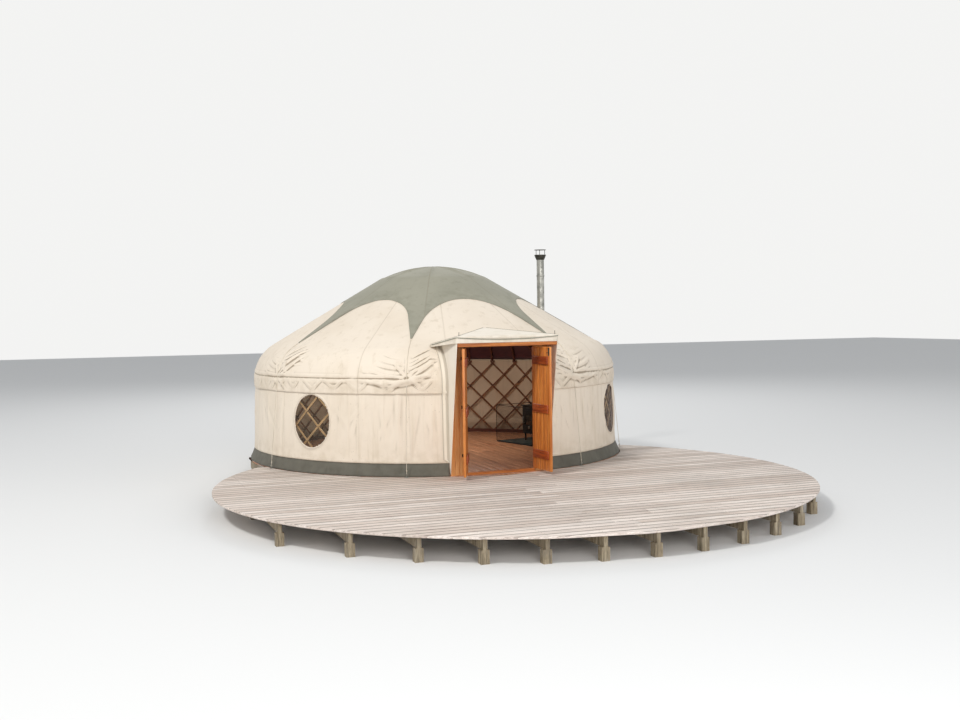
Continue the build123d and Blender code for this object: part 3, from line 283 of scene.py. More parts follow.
# The lattice's outer faces get painted light: a pale colour for the sun on them
STAINED = timber("stained_lattice", srgb(158, 110, 74), srgb(126, 82, 54), srgb(80, 48, 30),
                 (7, 7, 7), 0.55, knots=0, outside=srgb(252, 206, 146))
KERB = timber("kerb_timber", srgb(122, 66, 44), srgb(100, 52, 36), srgb(62, 32, 22),
              (4, 4, 18), 0.5, knots=0.2)
CANVAS = canvas("cream_canvas", srgb(238, 225, 207), srgb(225, 210, 189), srgb(198, 181, 154), mildew=0.4,
                crease_shade=0.75)
HOOD = canvas("hood_canvas", srgb(241, 232, 217), srgb(229, 218, 199), srgb(204, 190, 165), mildew=0.2,
              crease_shade=0.5, seam_shade=0.45)
FOOT = canvas("dark_foot_canvas", srgb(104, 101, 90), srgb(84, 82, 72), srgb(62, 60, 48))
STAR = canvas("olive_star_canvas", srgb(158, 155, 138), srgb(142, 140, 124), srgb(120, 119, 100), mildew=0.2,
              crease_shade=0.5)
LINING = canvas("maroon_lining", srgb(80, 18, 24), srgb(62, 12, 18), srgb(44, 8, 14), sheen=0.25)
ROPE = canvas("cream_rope", srgb(240, 231, 214), srgb(224, 214, 194), srgb(198, 186, 160), stitched=False)
# Painted shade: a darker copy of the cream canvas for the cloths' inner faces, as they look in the shaded
# room
INNER_SHADE = canvas("shaded_inner_canvas", srgb(214, 194, 168), srgb(192, 170, 144), srgb(160, 138, 112))
ZINC = metal("galvanised_steel", srgb(184, 182, 174), srgb(138, 138, 132), 0.42, 0.75, 9.0)
SOOT = metal("sooty_steel", srgb(86, 84, 76), srgb(52, 51, 46), 0.5, 0.6, 9.0)
IRON = metal("blacked_iron", srgb(42, 43, 42), srgb(22, 22, 23), 0.55, 0.3, 7.0, 0.2)
STEEL = metal("hinge_steel", srgb(96, 90, 82), srgb(58, 52, 46), 0.45, 0.85, 22.0)
BRASS = metal("eyelet_brass", srgb(178, 150, 92), srgb(120, 98, 58), 0.4, 0.9, 40.0)
SLATE = metal("green_slate", srgb(70, 82, 80), srgb(46, 56, 56), 0.5, 0.0, 5.0, 0.3)
RUBBER = metal("flue_rubber", srgb(70, 72, 70), srgb(48, 50, 50), 0.7, 0.0, 12.0, 0.2)


def clear_pane():
    """Thin clear plastic that is a little cloudy and scratched."""
    material, tree, shader = finish("clear_pane", 0.1, IOR=1.3)
    place = wire(tree, "TexCoord").outputs["Object"]
    cloud = blotch(tree, place, 4.0, 4.0)
    tree.links.new(mixed(tree, between(tree, cloud, 0.4, 0.7), srgb(96, 94, 82), srgb(78, 76, 66)),
                   shader.inputs["Base Color"])
    tree.links.new(between(tree, cloud, 0.35, 0.75, 0.18, 0.26), shader.inputs["Alpha"])
    return material


def stove_glass():
    material, tree, shader = finish("stove_glass", 0.08, Coat_Weight=0.6)
    soot = blotch(tree, wire(tree, "TexCoord").outputs["Object"], 12.0)
    tree.links.new(mixed(tree, between(tree, soot, 0.4, 0.7), srgb(26, 24, 22), srgb(48, 40, 34)),
                   shader.inputs["Base Color"])
    return material


PANE, STOVE_GLASS = clear_pane(), stove_glass()


# Shared ways of making pieces


def out_along(azimuth):
    turn = math.radians(azimuth)
    return Vector((math.sin(turn), -math.cos(turn), 0.0))


def turn_from(azimuth, other):
    """The degrees from one azimuth to another, from -180 to 180."""
    return (azimuth - other + 180) % 360 - 180


def held(value):
    """A value kept between 0 and 1."""
    return min(max(value, 0.0), 1.0)


def bell(value, middle, width):
    return math.exp(-(((value - middle) / width) ** 2))


def rough_at(x, y, seed):
    """Smooth noise from -1 to 1 over two lengths in metres."""
    return noise.noise(Vector((x, y, seed * 7.7)))


def sorted_creases(creases, cell=0.5):
    """Creases sorted by the stretches of arc they touch, so that a place meets only those near it."""
    near = {}
    for crease in creases:
        low, high = sorted((crease[0], crease[2]))
        for k in range(int((low - 0.1) // cell), int((high + 0.1) // cell) + 1):
            near.setdefault(k, []).append(crease)
    return near, cell


def crease_lift(creases, arc, up):
    """The relief of creases at a place: each a ridge between two points, bowed and fading at its ends."""
    near, cell = creases
    total = 0.0
    for start, low, end, high, bow, width, height in near.get(int(arc // cell), ()):
        run, rise = end - start, high - low
        share = ((arc - start) * run + (up - low) * rise) / (run * run + rise * rise)
        if 0.0 < share < 1.0:
            hump = 4 * share * (1 - share)
            off = ((up - low) * run - (arc - start) * rise) / math.hypot(run, rise) + bow * hump
            if abs(off) < 4 * width:
                soft = 1.8 if off * run > 0 else 0.75
                total += height * math.exp(-(abs(off) / (width * soft)) ** 1.4) * hump ** 0.6
    return total


def seat(obj, body, slot, *replaced):
    """Puts a finished piece on its body and hides the solids it stands for."""
    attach(obj, body)
    if replaced:
        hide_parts(*replaced)
    return obj


def added(name, data):
    """A new object in the scene."""
    obj = bpy.data.objects.new(name, data)
    bpy.context.scene.collection.objects.link(obj)
    return obj


def link(name, data, material):
    """A new object with one finish."""
    obj = added(name, data)
    obj.data.materials.clear()
    obj.data.materials.append(material)
    return obj


def meshed(name, shape):
    """A mesh from an edited shape, which is then let go."""
    mesh = bpy.data.meshes.new(name)
    shape.to_mesh(mesh)
    shape.free()
    return mesh


def settled(obj, name=None):
    """The piece with its modifiers worked in, as one plain mesh at the origin."""
    bpy.context.view_layer.update()
    done = obj.evaluated_get(bpy.context.evaluated_depsgraph_get())
    mesh = bpy.data.meshes.new_from_object(done)
    final = name or obj.name
    bpy.data.objects.remove(obj)
    return added(final, mesh)


def smoothed(obj, angle):
    obj.data.shade_smooth()
    obj.data.set_sharp_from_angle(angle=math.radians(angle))
    return obj


def cloth(name, columns, rows, place, cut, material, thickness, holes=(), cell=0.012):
    """A cloth over a grid of columns and rows, its holes snapped to their outlines, given its thickness."""
    shape = bmesh.new()
    flat = shape.loops.layers.uv.new("cloth")
    grid = [[shape.verts.new(place(u, v)) for v in rows] for u in columns]
    for i in range(len(columns) - 1):
        for j in range(len(rows) - 1):
            corners = ((i, j), (i + 1, j), (i + 1, j + 1), (i, j + 1))
            face = shape.faces.new([grid[a][b] for a, b in corners])
            for loop, (a, b) in zip(face.loops, corners):
                loop[flat].uv = cut(columns[a], rows[b])
    for outline in holes:
        for vert in shape.verts:
            reach = outline(vert.co)
            if abs(reach) < cell:
                steps = [Vector((1e-4, 0, 0)), Vector((0, 1e-4, 0)), Vector((0, 0, 1e-4))]
                pull = Vector([(outline(vert.co + step) - reach) / 1e-4 for step in steps])
                if pull.length > 0.2:
                    vert.co -= pull * (reach / pull.length_squared)
        inside = [face for face in shape.faces if all(outline(vert.co) < 1e-3 for vert in face.verts)]
        bmesh.ops.delete(shape, geom=inside, context="FACES")
    bmesh.ops.remove_doubles(shape, verts=shape.verts, dist=1e-5)
    bmesh.ops.dissolve_degenerate(shape, edges=shape.edges, dist=1e-5)
    shape.normal_update()
    middle = Vector((0, 0, 1.2))
    outward = sum(face.normal.dot(face.calc_center_median() - middle) * face.calc_area()
                  for face in shape.faces)
    if outward < 0:
        bmesh.ops.reverse_faces(shape, faces=shape.faces)
    obj = link(name, meshed(name, shape), material)
    obj.data.shade_smooth()
    wall = obj.modifiers.new("thickness", "SOLIDIFY")
    wall.thickness, wall.offset, wall.use_even_offset = thickness, -1.0, False
    return settled(obj)


def shaded_inside(obj, material):
    """A second, darker colour on the side of a cloth that faces the inside: painted shade for the shaded
    room.
    """
    obj.data.materials.append(material)
    for face in obj.data.polygons:
        out = Vector((face.center.x, face.center.y, 0.0))
        if face.normal.dot(out) < 0:
            face.material_index = 1
    return obj


def spread(low, high, count):
    return [low + (high - low) * k / count for k in range(count + 1)]


def boards(name, pieces, material, edge, turn=None):
    """Boards from plan outlines (points, lowest, highest, tone), their edges eased, in one mesh."""
    shape = bmesh.new()
    tones = shape.faces.layers.float.new("tone")
    for outline, low, high, tone in pieces:
        under = [shape.verts.new((x, y, low)) for x, y in outline]
        over = [shape.verts.new((x, y, high)) for x, y in outline]
        made = [shape.faces.new(under[::-1]), shape.faces.new(over)]
        for k in range(len(outline)):
            after = (k + 1) % len(outline)
            made.append(shape.faces.new((under[k], under[after], over[after], over[k])))
        for face in made:
            face[tones] = tone
    bmesh.ops.recalc_face_normals(shape, faces=shape.faces)
    bmesh.ops.bevel(shape, geom=shape.edges[:], offset=edge, segments=2, profile=0.5, affect="EDGES",
                    clamp_overlap=True)
    if turn is not None:
        shape.transform(turn)
    return smoothed(link(name, meshed(name, shape), material), 50)


def oblong(x_low, x_high, y_low, y_high):
    return [(x_low, y_low), (x_high, y_low), (x_high, y_high), (x_low, y_high)]


def turned_solid(name, profile, centre, material, sides, axis=(0, 0, 1)):
    """A closed profile of (radius, height) points, turned about an axis."""
    up = Vector(axis).normalized()
    side = up.orthogonal().normalized()
    front = up.cross(side)
    shape = bmesh.new()
    rings = []
    for k in range(sides):
        turn = 2 * math.pi * k / sides
        ray = side * math.cos(turn) + front * math.sin(turn)
        rings.append([shape.verts.new(Vector(centre) + ray * r + up * z) for r, z in profile])
    for k in range(sides):
        here, after = rings[k], rings[(k + 1) % sides]
        for j in range(len(profile)):
            following = (j + 1) % len(profile)
            shape.faces.new((here[j], after[j], after[following], here[following]))
    bmesh.ops.remove_doubles(shape, verts=shape.verts, dist=1e-6)
    bmesh.ops.dissolve_degenerate(shape, edges=shape.edges, dist=1e-7)
    bmesh.ops.recalc_face_normals(shape, faces=shape.faces)
    return smoothed(link(name, meshed(name, shape), material), 40)


def joined(name, parts):
    """Several pieces of one finish as one piece."""
    shape = bmesh.new()
    for part in parts:
        shape.from_mesh(part.data)
    mesh = meshed(name, shape)
    material = parts[0].data.materials[0]
    for part in parts:
        bpy.data.objects.remove(part)
    return link(name, mesh, material)


# Geometry Nodes trees


def tree_of(name, sockets):
    """A new tree with its named inputs, and its two end nodes."""
    tree = bpy.data.node_groups.new(name, "GeometryNodeTree")
    tree.interface.new_socket("Geometry", in_out="OUTPUT", socket_type="NodeSocketGeometry")
    for label, kind, value in sockets:
        socket = tree.interface.new_socket(label, in_out="INPUT", socket_type="NodeSocket" + kind)
        if value is not None:
            socket.default_value = value
    return tree, tree.nodes.new("NodeGroupInput"), tree.nodes.new("NodeGroupOutput")


def handed_out(tree, start, end, geometry):
    """Gives a tree's geometry its finish and hands it out."""
    done = step(tree, "GeometryNodeSetMaterial", Geometry=geometry, Material=start.outputs["Finish"])
    tree.links.new(done.outputs["Geometry"], end.inputs["Geometry"])
    return tree


def grown(name, data, tree, material, **values):
    """A piece grown by a tree from a mesh or curve, as a plain mesh."""
    obj = added(name + "_seed", data)
    modifier = obj.modifiers.new(tree.name, "NODES")
    modifier.node_group = tree
    values["Finish"] = material
    for item in tree.interface.items_tree:
        if item.in_out == "INPUT" and item.name.replace(" ", "_") in values:
            modifier[item.identifier] = values[item.name.replace(" ", "_")]
    return settled(obj, name)


def head_tree():
    """Small domed heads, such as rivets and screws, on points that say which way they face."""
    tree, start, end = tree_of("Domed Heads", [
        ("Geometry", "Geometry", None), ("Head Radius", "Float", 0.005), ("Head Height", "Float", 0.002),
        ("Finish", "Material", None)])
    ball = step(tree, "GeometryNodeMeshUVSphere", Segments=8, Rings=5, Radius=1.0)
    size = step(tree, "ShaderNodeCombineXYZ", X=start.outputs["Head Radius"], Y=start.outputs["Head Radius"],
                Z=start.outputs["Head Height"])
    facing = step(tree, "GeometryNodeInputNamedAttribute", {"data_type": "FLOAT_VECTOR"}, Name="facing")
    turned = step(tree, "FunctionNodeAlignRotationToVector", {"axis": "Z"},
                  Vector=facing.outputs["Attribute"])
    placed = step(tree, "GeometryNodeInstanceOnPoints", Points=start.outputs["Geometry"],
                  Instance=ball.outputs["Mesh"], Rotation=turned.outputs["Rotation"], Scale=size.outputs[0])
    real = step(tree, "GeometryNodeRealizeInstances", Geometry=placed.outputs["Instances"])
    smooth = step(tree, "GeometryNodeSetShadeSmooth", Geometry=real.outputs["Geometry"])
    return handed_out(tree, start, end, smooth.outputs["Geometry"])


def rope_tree():
    """Three strands laid up round a curve."""
    tree, start, end = tree_of("Laid Rope", [
        ("Geometry", "Geometry", None), ("Rope Thickness", "Float", 0.009), ("Lay Length", "Float", 0.05),
        ("Finish", "Material", None)])
    even = step(tree, "GeometryNodeResampleCurve", {"mode": "LENGTH"}, Curve=start.outputs["Geometry"],
                Length=0.010)
    thickness = start.outputs["Rope Thickness"]
    along = step(tree, "GeometryNodeSplineParameter")
    turns = step(tree, "ShaderNodeMath", {"operation": "DIVIDE"}, i0=along.outputs["Length"],
                 i1=start.outputs["Lay Length"])
    angle = step(tree, "ShaderNodeMath", {"operation": "MULTIPLY"}, i0=turns.outputs[0], i1=2 * math.pi)
    tilted = step(tree, "GeometryNodeSetCurveTilt", Curve=even.outputs["Curve"], Tilt=angle.outputs[0])
    strand_size = step(tree, "ShaderNodeMath", {"operation": "MULTIPLY"}, i0=thickness, i1=0.27)
    set_out = step(tree, "ShaderNodeMath", {"operation": "MULTIPLY"}, i0=thickness, i1=0.24)
    strand = step(tree, "GeometryNodeCurvePrimitiveCircle", Resolution=6, Radius=strand_size.outputs[0])
    spots = step(tree, "GeometryNodeCurvePrimitiveCircle", Resolution=3, Radius=set_out.outputs[0])
    placed = step(tree, "GeometryNodeInstanceOnPoints", Points=spots.outputs["Curve"],
                  Instance=strand.outputs["Curve"])
    profile = step(tree, "GeometryNodeRealizeInstances", Geometry=placed.outputs["Instances"])
    solid = step(tree, "GeometryNodeCurveToMesh", Curve=tilted.outputs["Curve"],
                 Profile_Curve=profile.outputs["Geometry"], Fill_Caps=True)
    smooth = step(tree, "GeometryNodeSetShadeSmooth", Geometry=solid.outputs["Mesh"])
    return handed_out(tree, start, end, smooth.outputs["Geometry"])


def wire_tree():
    """A square wire mesh over an upright panel that starts at the origin and runs along X."""
    tree, start, end = tree_of("Wire Panel", [
        ("Geometry", "Geometry", None), ("Panel Width", "Float", 1.0), ("Panel Height", "Float", 0.6),
        ("Wires Across", "Int", 40), ("Wires Up", "Int", 26), ("Wire Radius", "Float", 0.0008),
        ("Finish", "Material", None)])
    grid = step(tree, "GeometryNodeMeshGrid", Size_X=start.outputs["Panel Width"],
                Size_Y=start.outputs["Panel Height"], Vertices_X=start.outputs["Wires Across"],
                Vertices_Y=start.outputs["Wires Up"])
    lines = step(tree, "GeometryNodeMeshToCurve", Mesh=grid.outputs["Mesh"])
    ring = step(tree, "GeometryNodeCurvePrimitiveCircle", Resolution=4, Radius=start.outputs["Wire Radius"])
    solid = step(tree, "GeometryNodeCurveToMesh", Curve=lines.outputs["Curve"],
                 Profile_Curve=ring.outputs["Curve"])
    real = step(tree, "GeometryNodeRealizeInstances", Geometry=solid.outputs["Mesh"])
    return handed_out(tree, start, end, real.outputs["Geometry"])


HEADS, LAID_ROPE, WIRES = head_tree(), rope_tree(), wire_tree()


def heads(name, spots, material, radius, height):
    """Domed heads on a list of (place, facing)."""
    mesh = bpy.data.meshes.new(name)
    mesh.from_pydata([tuple(place) for place, _ in spots], [], [])
    facing = mesh.attributes.new("facing", "FLOAT_VECTOR", "POINT")
    for k, (_, way) in enumerate(spots):
        facing.data[k].vector = tuple(way)
    return grown(name, mesh, HEADS, material, Head_Radius=radius, Head_Height=height)


def curve_through(name, points, closed=False):
    """A curve from point to point."""
    curve = bpy.data.curves.new(name, "CURVE")
    curve.dimensions = "3D"
    line = curve.splines.new("POLY")
    line.points.add(len(points) - 1)
    line.use_cyclic_u = closed
    for point, where in zip(line.points, points):
        point.co = (*where, 1.0)
    return curve


def rope_along(name, points, thickness, material):
    """A laid rope from point to point."""
    curve = curve_through(name, points)
    return grown(name, curve, LAID_ROPE, material, Rope_Thickness=thickness, Lay_Length=0.05)


# Deck and floor


def crossing(y, radius, middle):
    """Half the width of a round outline at a distance along Y."""
    return math.sqrt(max(radius**2 - (y - middle) ** 2, 0.0))


def deck_boards():
    """Weathered boards across the deck, cut round its rim and round the floor platform."""
    kept, pick = [], random.Random(3)
    first = DECK_MIDDLE - DECK_RADIUS
    for k in range(int(2 * DECK_RADIUS / DECK_PITCH) + 1):
        low = first + k * DECK_PITCH
        high = min(first + (k + 1) * DECK_PITCH - DECK_GAP, DECK_MIDDLE + DECK_RADIUS - 0.001)
        if high - low < 0.02:
            continue
        jag = min(0.006 * rough_at(k * 3.3, 0.0, 1), 0)
        ends = [crossing(min(max(y, first + 0.004), -first), DECK_RADIUS, DECK_MIDDLE) + jag
                for y in (low, high)]
        inner = [crossing(y, PLATFORM + DECK_GAP, 0.0) for y in (low, high)]
        lift = 0.0012 * rough_at(k * 5.1, 2.0, 2)
        if min(ends) - max(inner) < 0.03:
            continue
        tones = [pick.uniform(0.2, 1.0) for _ in range(2)]
        cut = 1.8 * rough_at(k * 2.9, 5.0, 4)
        for side, tone in zip((-1, 1), tones):
            starts = inner if max(inner) else [side * cut + 0.0015] * 2
            corners = ((starts[0], low), (ends[0], low), (ends[1], high), (starts[1], high))
            outline = [(side * x, y) for x, y in corners]
            kept.append((outline, DECK - BOARD, DECK - 0.0008 + min(lift, 0.0), tone))
    return boards("deck_boards", kept, DECKING, 0.006)


def deck_screws():
    """Two screws where each deck board crosses a joist."""
    spots = []
    first = DECK_MIDDLE - DECK_RADIUS
    for k in range(int(2 * DECK_RADIUS / DECK_PITCH)):
        for j in range(-6, 7):
            x = j * 0.6
            for share in (0.035, 0.106):
                y = first + k * DECK_PITCH + share
                far = math.hypot(x, y - DECK_MIDDLE) > DECK_RADIUS - 0.05
                if not far and math.hypot(x, y) > PLATFORM + 0.04:
                    spots.append(((x + 0.004 * rough_at(k, j, 6), y, DECK - 0.0015), (0, 0, 1)))
    return heads("deck_screws", spots, STEEL, 0.0042, 0.0022)


def floor_boards():
    """Oiled floor boards over the platform, cut round its rim."""
    pitch, inset, kept = 0.128, 0.011, []
    for k in range(int(2 * PLATFORM / pitch) + 1):
        low = max(-PLATFORM + k * pitch, inset - PLATFORM)
        high = min(-PLATFORM + (k + 1) * pitch - 0.0012, PLATFORM - inset)
        if high - low < 0.02:
            continue
        furthest = PLATFORM - inset - 0.003
        ends = [crossing(min(max(x, -furthest), furthest), PLATFORM - inset, 0.0) for x in (low, high)]
        if min(ends) < 0.05:
            continue
        cut = 1.5 * rough_at(k * 2.1, 1.0, 8)
        for side, tone in ((-1, rough_at(k * 6.1, 0, 9)), (1, rough_at(k * 4.7, 3, 9))):
            start = cut * side + 0.0006
            corners = ((low, start), (high, start), (high, ends[1]), (low, ends[0]))
            outline = [(x, side * y) for x, y in corners]
            kept.append((outline, DECK - BOARD, DECK - 0.0004, 0.5 + 0.5 * tone))
    return boards("floor_boards", kept, FLOOR, 0.0012)


seat(deck_boards(), "yurt", "deck_boards", "sun_deck")
seat(deck_screws(), "yurt", "hinge_steel")
seat(floor_boards(), "yurt", "floor_boards", "floor_platform")


# Wall, windows and foot cloth


def wall_radius(height):
    share = (height - WALL_HEM[1]) / (WALL_TOP[1] - WALL_HEM[1])
    return WALL_HEM[0] + (WALL_TOP[0] - WALL_HEM[0]) * share


def wall_creases():
    """Upright folds all round the wall, and slanting pulls that run down from the eave."""
    pick, made = random.Random(11), []
    for k in range(150):
        arc = -9.2 + 18.4 * (k + pick.uniform(-0.3, 0.3)) / 150
        top, foot = pick.uniform(0.75, 1.15), pick.uniform(0.0, 0.4)
        made.append((arc, foot, arc + pick.uniform(-0.12, 0.12), top, pick.uniform(-0.03, 0.03),
                     pick.uniform(0.020, 0.042), pick.choice((1, 1, -0.4)) * pick.uniform(0.005, 0.014)))
    for k in range(46):
        arc = -9.2 + 18.4 * (k + pick.uniform(-0.4, 0.4)) / 46
        made.append((arc, pick.uniform(0.75, 0.98), arc + pick.choice((-1, 1)) * pick.uniform(0.18, 0.42),
                     pick.uniform(0.1, 0.6), pick.uniform(-0.04, 0.04), pick.uniform(0.018, 0.034),
                     pick.uniform(0.005, 0.009)))
    return sorted_creases(made)


WALL_CREASES = wall_creases()


def wall_lift(arc, height):
    """How far the wall cloth stands out: upright folds, slanting pulls, slack and a turned hem."""
    up = height - WALL_HEM[1]
    slack = 0.0050 * rough_at(arc * 1.7 + 0.4 * up, up * 1.6, 3) + 0.0018 * rough_at(arc * 9.0, up * 3.0, 2)
    hem = 0.0035 * bell(up, 0.0, 0.05) * (1.2 + rough_at(arc * 4.0, 0.0, 5))
    beside_door = held((abs(arc) - 0.86) / 0.12)
    return max((crease_lift(WALL_CREASES, arc, up) + slack + hem) * beside_door + 0.001, -0.0025)


WALL_SEAMS = (14.6, 40.0, 68.0, 96.0, 124.0, 152.0, 180.0)


def to_seam(azimuth, radius):
    """Metres round the wall to the nearest seam."""
    turned = abs(turn_from(azimuth, 0))
    return min(abs(turned - seam) for seam in WALL_SEAMS) * math.pi / 180 * radius


def wall_place(azimuth, height):
    radius = wall_radius(height) + wall_lift(math.radians(azimuth) * 3.0, height)
    return out_along(azimuth) * radius + Vector((0, 0, height))


def window_outline(middle_azimuth):
    """Metres outside a window's oval edge."""
    out, along = out_along(middle_azimuth), out_along(middle_azimuth + 90)
    middle = (WINDOW_LOW + WINDOW_HIGH) / 2
    half_wide, half_high = WINDOW_WIDE / 2, (WINDOW_HIGH - WINDOW_LOW) / 2

    def reach(point):
        if point.dot(out) < 1.5:
            return 1.0
        across, up = point.dot(along), point.z - middle
        share = math.hypot(across / half_wide, up / half_high)
        return (share - 1) * math.hypot(across, up) / max(share, 1e-6)

    return reach


def on_window(middle_azimuth, turn, grow, lift):
    """A point of a window's edge, grown and lifted off the wall."""
    half_wide, half_high = WINDOW_WIDE / 2 + grow, (WINDOW_HIGH - WINDOW_LOW) / 2 + grow
    across, height = half_wide * math.cos(turn), (WINDOW_LOW + WINDOW_HIGH) / 2 + half_high * math.sin(turn)
    azimuth = middle_azimuth + math.degrees(math.asin(across / wall_radius(height)))
    return wall_place(azimuth, height) + out_along(azimuth) * lift


def window_rim(middle_azimuth):
    """The turned and stitched edge round a window: a flat band with a rolled lip."""
    profile = [(-0.004, -0.003), (0.004, 0.004), (0.010, 0.0022), (0.036, 0.0022), (0.038, 0.0004),
               (0.038, -0.004)]
    count = 120
    shape = bmesh.new()
    flat = shape.loops.layers.uv.new("cloth")
    turns = [2 * math.pi * k / count for k in range(count)]
    rings = [[shape.verts.new(on_window(middle_azimuth, turn, grow, lift)) for grow, lift in profile]
             for turn in turns]
    for k in range(count):
        for j in range(len(profile)):
            after, following = (k + 1) % count, (j + 1) % len(profile)
            corners = rings[k][j], rings[after][j], rings[after][following], rings[k][following]
            face = shape.faces.new(corners)
            for loop, column in zip(face.loops, (j, j, following, following)):
                loop[flat].uv = (profile[column][0] - 0.012, 0.5 + 0.01 * k)
    bmesh.ops.recalc_face_normals(shape, faces=shape.faces)
    return smoothed(link("rim", meshed("window_rim", shape), CANVAS), 60)


wall_columns = spread(DOOR_EDGE, 360 - DOOR_EDGE, 720)
wall_cloth = cloth(
    "wall_cloth", [a if a <= 180 else a - 360 for a in wall_columns],
    spread(WALL_HEM[1], WALL_TOP[1], 56), wall_place,
    lambda azimuth, height: (to_seam(azimuth, WALL_HEM[0]), height - WALL_HEM[1]), CANVAS, 0.0025,
    [window_outline(azimuth) for azimuth in WINDOWS])
window_rims = joined("window_rims", [window_rim(azimuth) for azimuth in WINDOWS])
seat(shaded_inside(wall_cloth, INNER_SHADE), "yurt", "canvas", "wall_canvas_left", "wall_canvas_right")
seat(window_rims, "yurt", "canvas")


def foot_place(azimuth, share):
    """The foot cloth, from its hidden top edge down over the wall's hem to where it meets the deck."""
    top = (wall_radius(DECK + 0.262) - 0.0095, DECK + 0.262)
    hem, foot = (2.9935, DECK + 0.18), (3.0705, DECK + 0.002)
    start, end, part = (top, hem, share / 0.3) if share < 0.3 else (hem, foot, (share - 0.3) / 0.7)
    radius = start[0] + (end[0] - start[0]) * part
    height = start[1] + (end[1] - start[1]) * part
    arc = math.radians(azimuth) * 3.0
    loose = max(share - 0.3, 0) / 0.7
    wave = 0.007 * rough_at(arc * 3.4, share, 11)
    wave += 0.005 * rough_at(arc * 9.0 + share * 2, share * 2, 12)
    fold = 0.006 * loose * bell(share, 0.72, 0.12) * (0.4 + abs(rough_at(arc * 1.8, 0.3, 13)))
    return out_along(azimuth) * (radius + loose * wave - fold) + Vector((0, 0, height))


foot_cloth = cloth(
    "foot_cloth", spread(14.75, 345.25, 640), spread(0.0, 1.0, 14), foot_place,
    lambda azimuth, share: (to_seam(azimuth, WALL_HEM[0]), (1 - share) * 0.275), FOOT, 0.002)
seat(shaded_inside(foot_cloth, INNER_SHADE), "yurt", "foot_canvas", "mud_wall")


# Roof cloth, lining, star cap


def roof_line(distance, lift):
    """A point (radius, height) of the roof's outer face, by metres up from the hem."""
    if distance < EAVE_RISE:
        return EAVE + lift, HEM + distance
    reach, turn = EAVE_BEND + lift, (distance - EAVE_RISE) / EAVE_BEND
    if turn < BEND_END:
        return EAVE_MIDDLE[0] + reach * math.cos(turn), EAVE_MIDDLE[1] + reach * math.sin(turn)
    run = distance - EAVE_RISE - BEND_END * EAVE_BEND
    return (EAVE_MIDDLE[0] + reach * math.sin(SLOPE) - run * math.cos(SLOPE),
            EAVE_MIDDLE[1] + reach * math.cos(SLOPE) + run * math.sin(SLOPE))


def pole_wave(azimuth):
    """A wave round the roof at the pitch of its poles."""
    return math.cos(math.radians(azimuth) * (180 / HALF_PITCH))


def fold_at(arc):
    """How far above the hem the stitched fold round the eave lies; it sags between the ropes."""
    return FOLD + 0.012 * rough_at(arc * 1.3, 0.0, 25)


# How far round the creases go on both sides, along the eave
HALF_ROUND = 9.3


def roof_creases():
    """The roof cloth's creases: pulls from ropes and hood, zigzags under the fold, slack above it."""
    pick, made = random.Random(4), []
    for tip in STAR_TIPS:
        middle, inward = math.radians(tip) * EAVE, -1 if tip > 0 else 1
        for k in range(7):
            turn = math.radians(-35 + 42 * k + pick.uniform(-8, 8))
            reach = pick.uniform(0.18, 0.38)
            ray = (math.cos(turn), math.sin(turn))
            made.append((middle + 0.03 * ray[0], FOLD + 0.03 * ray[1],
                         middle + reach * ray[0], FOLD + reach * ray[1],
                         0.0, pick.uniform(0.012, 0.018), pick.uniform(0.009, 0.017)))
        for side, rises in ((inward, 0.31 if tip < 0 else 0.22), (-inward, 0.10)):
            for k in range(6):
                low = FOLD + 0.005 + 0.062 * k + pick.uniform(-0.012, 0.012)
                span = pick.uniform(0.38, 0.56)
                depth = 1.0 if side == inward else 0.55
                made.append((middle + side * pick.uniform(0.02, 0.07), low, middle + side * span,
                             low + rises * pick.uniform(0.8, 1.1), side * pick.uniform(0.01, 0.035),
                             pick.uniform(0.015, 0.022), pick.uniform(0.013, 0.023) * depth))
    swags = ((2.13, 0.86, 0.19, 0.15, 0.016), (2.00, 1.02, 0.04, 0.12, 0.015),
             (1.84, 0.94, 0.10, 0.10, 0.013), (1.72, 1.16, 0.02, 0.07, 0.011),
             (2.75, 2.10, 0.02, 0.06, 0.010))
    for side in (-1, 1):
        for start, end, rise, bow, height in swags:
            made.append((side * start, FOLD - 0.01, side * end, FOLD + rise, -side * bow, 0.016, height))
    arc = -HALF_ROUND
    while arc < HALF_ROUND:
        span = pick.uniform(0.13, 0.24)
        foot = pick.uniform(0.03, 0.09)
        heights = [pick.uniform(0.006, 0.014) for _ in range(2)]
        made.append((arc, FOLD - 0.012, arc + span, foot, pick.uniform(0.0, 0.015), 0.014, heights[0]))
        made.append((arc + span, foot, arc + span * 1.9, FOLD - 0.012, pick.uniform(0.0, 0.015), 0.014,
                     heights[1]))
        arc += span * pick.uniform(1.9, 2.6)
    for k in range(150):
        arc, low = pick.uniform(-HALF_ROUND, HALF_ROUND), pick.uniform(0.26, 0.70)
        run = pick.choice((-1, 1)) * pick.uniform(0.12, 0.34)
        made.append((arc, low, arc + run, low + pick.uniform(-0.05, 0.08), pick.uniform(-0.02, 0.02),
                     pick.uniform(0.010, 0.018), pick.uniform(0.003, 0.008)))
    for k in range(90):
        arc, low = pick.uniform(-HALF_ROUND, HALF_ROUND), pick.uniform(0.8, 1.9)
        made.append((arc, low, arc + pick.uniform(0.2, 0.6), low + pick.uniform(-0.03, 0.03), 0.0,
                     pick.uniform(0.012, 0.022), pick.uniform(0.002, 0.005)))
    return sorted_creases(made)


ROOF_CREASES = roof_creases()


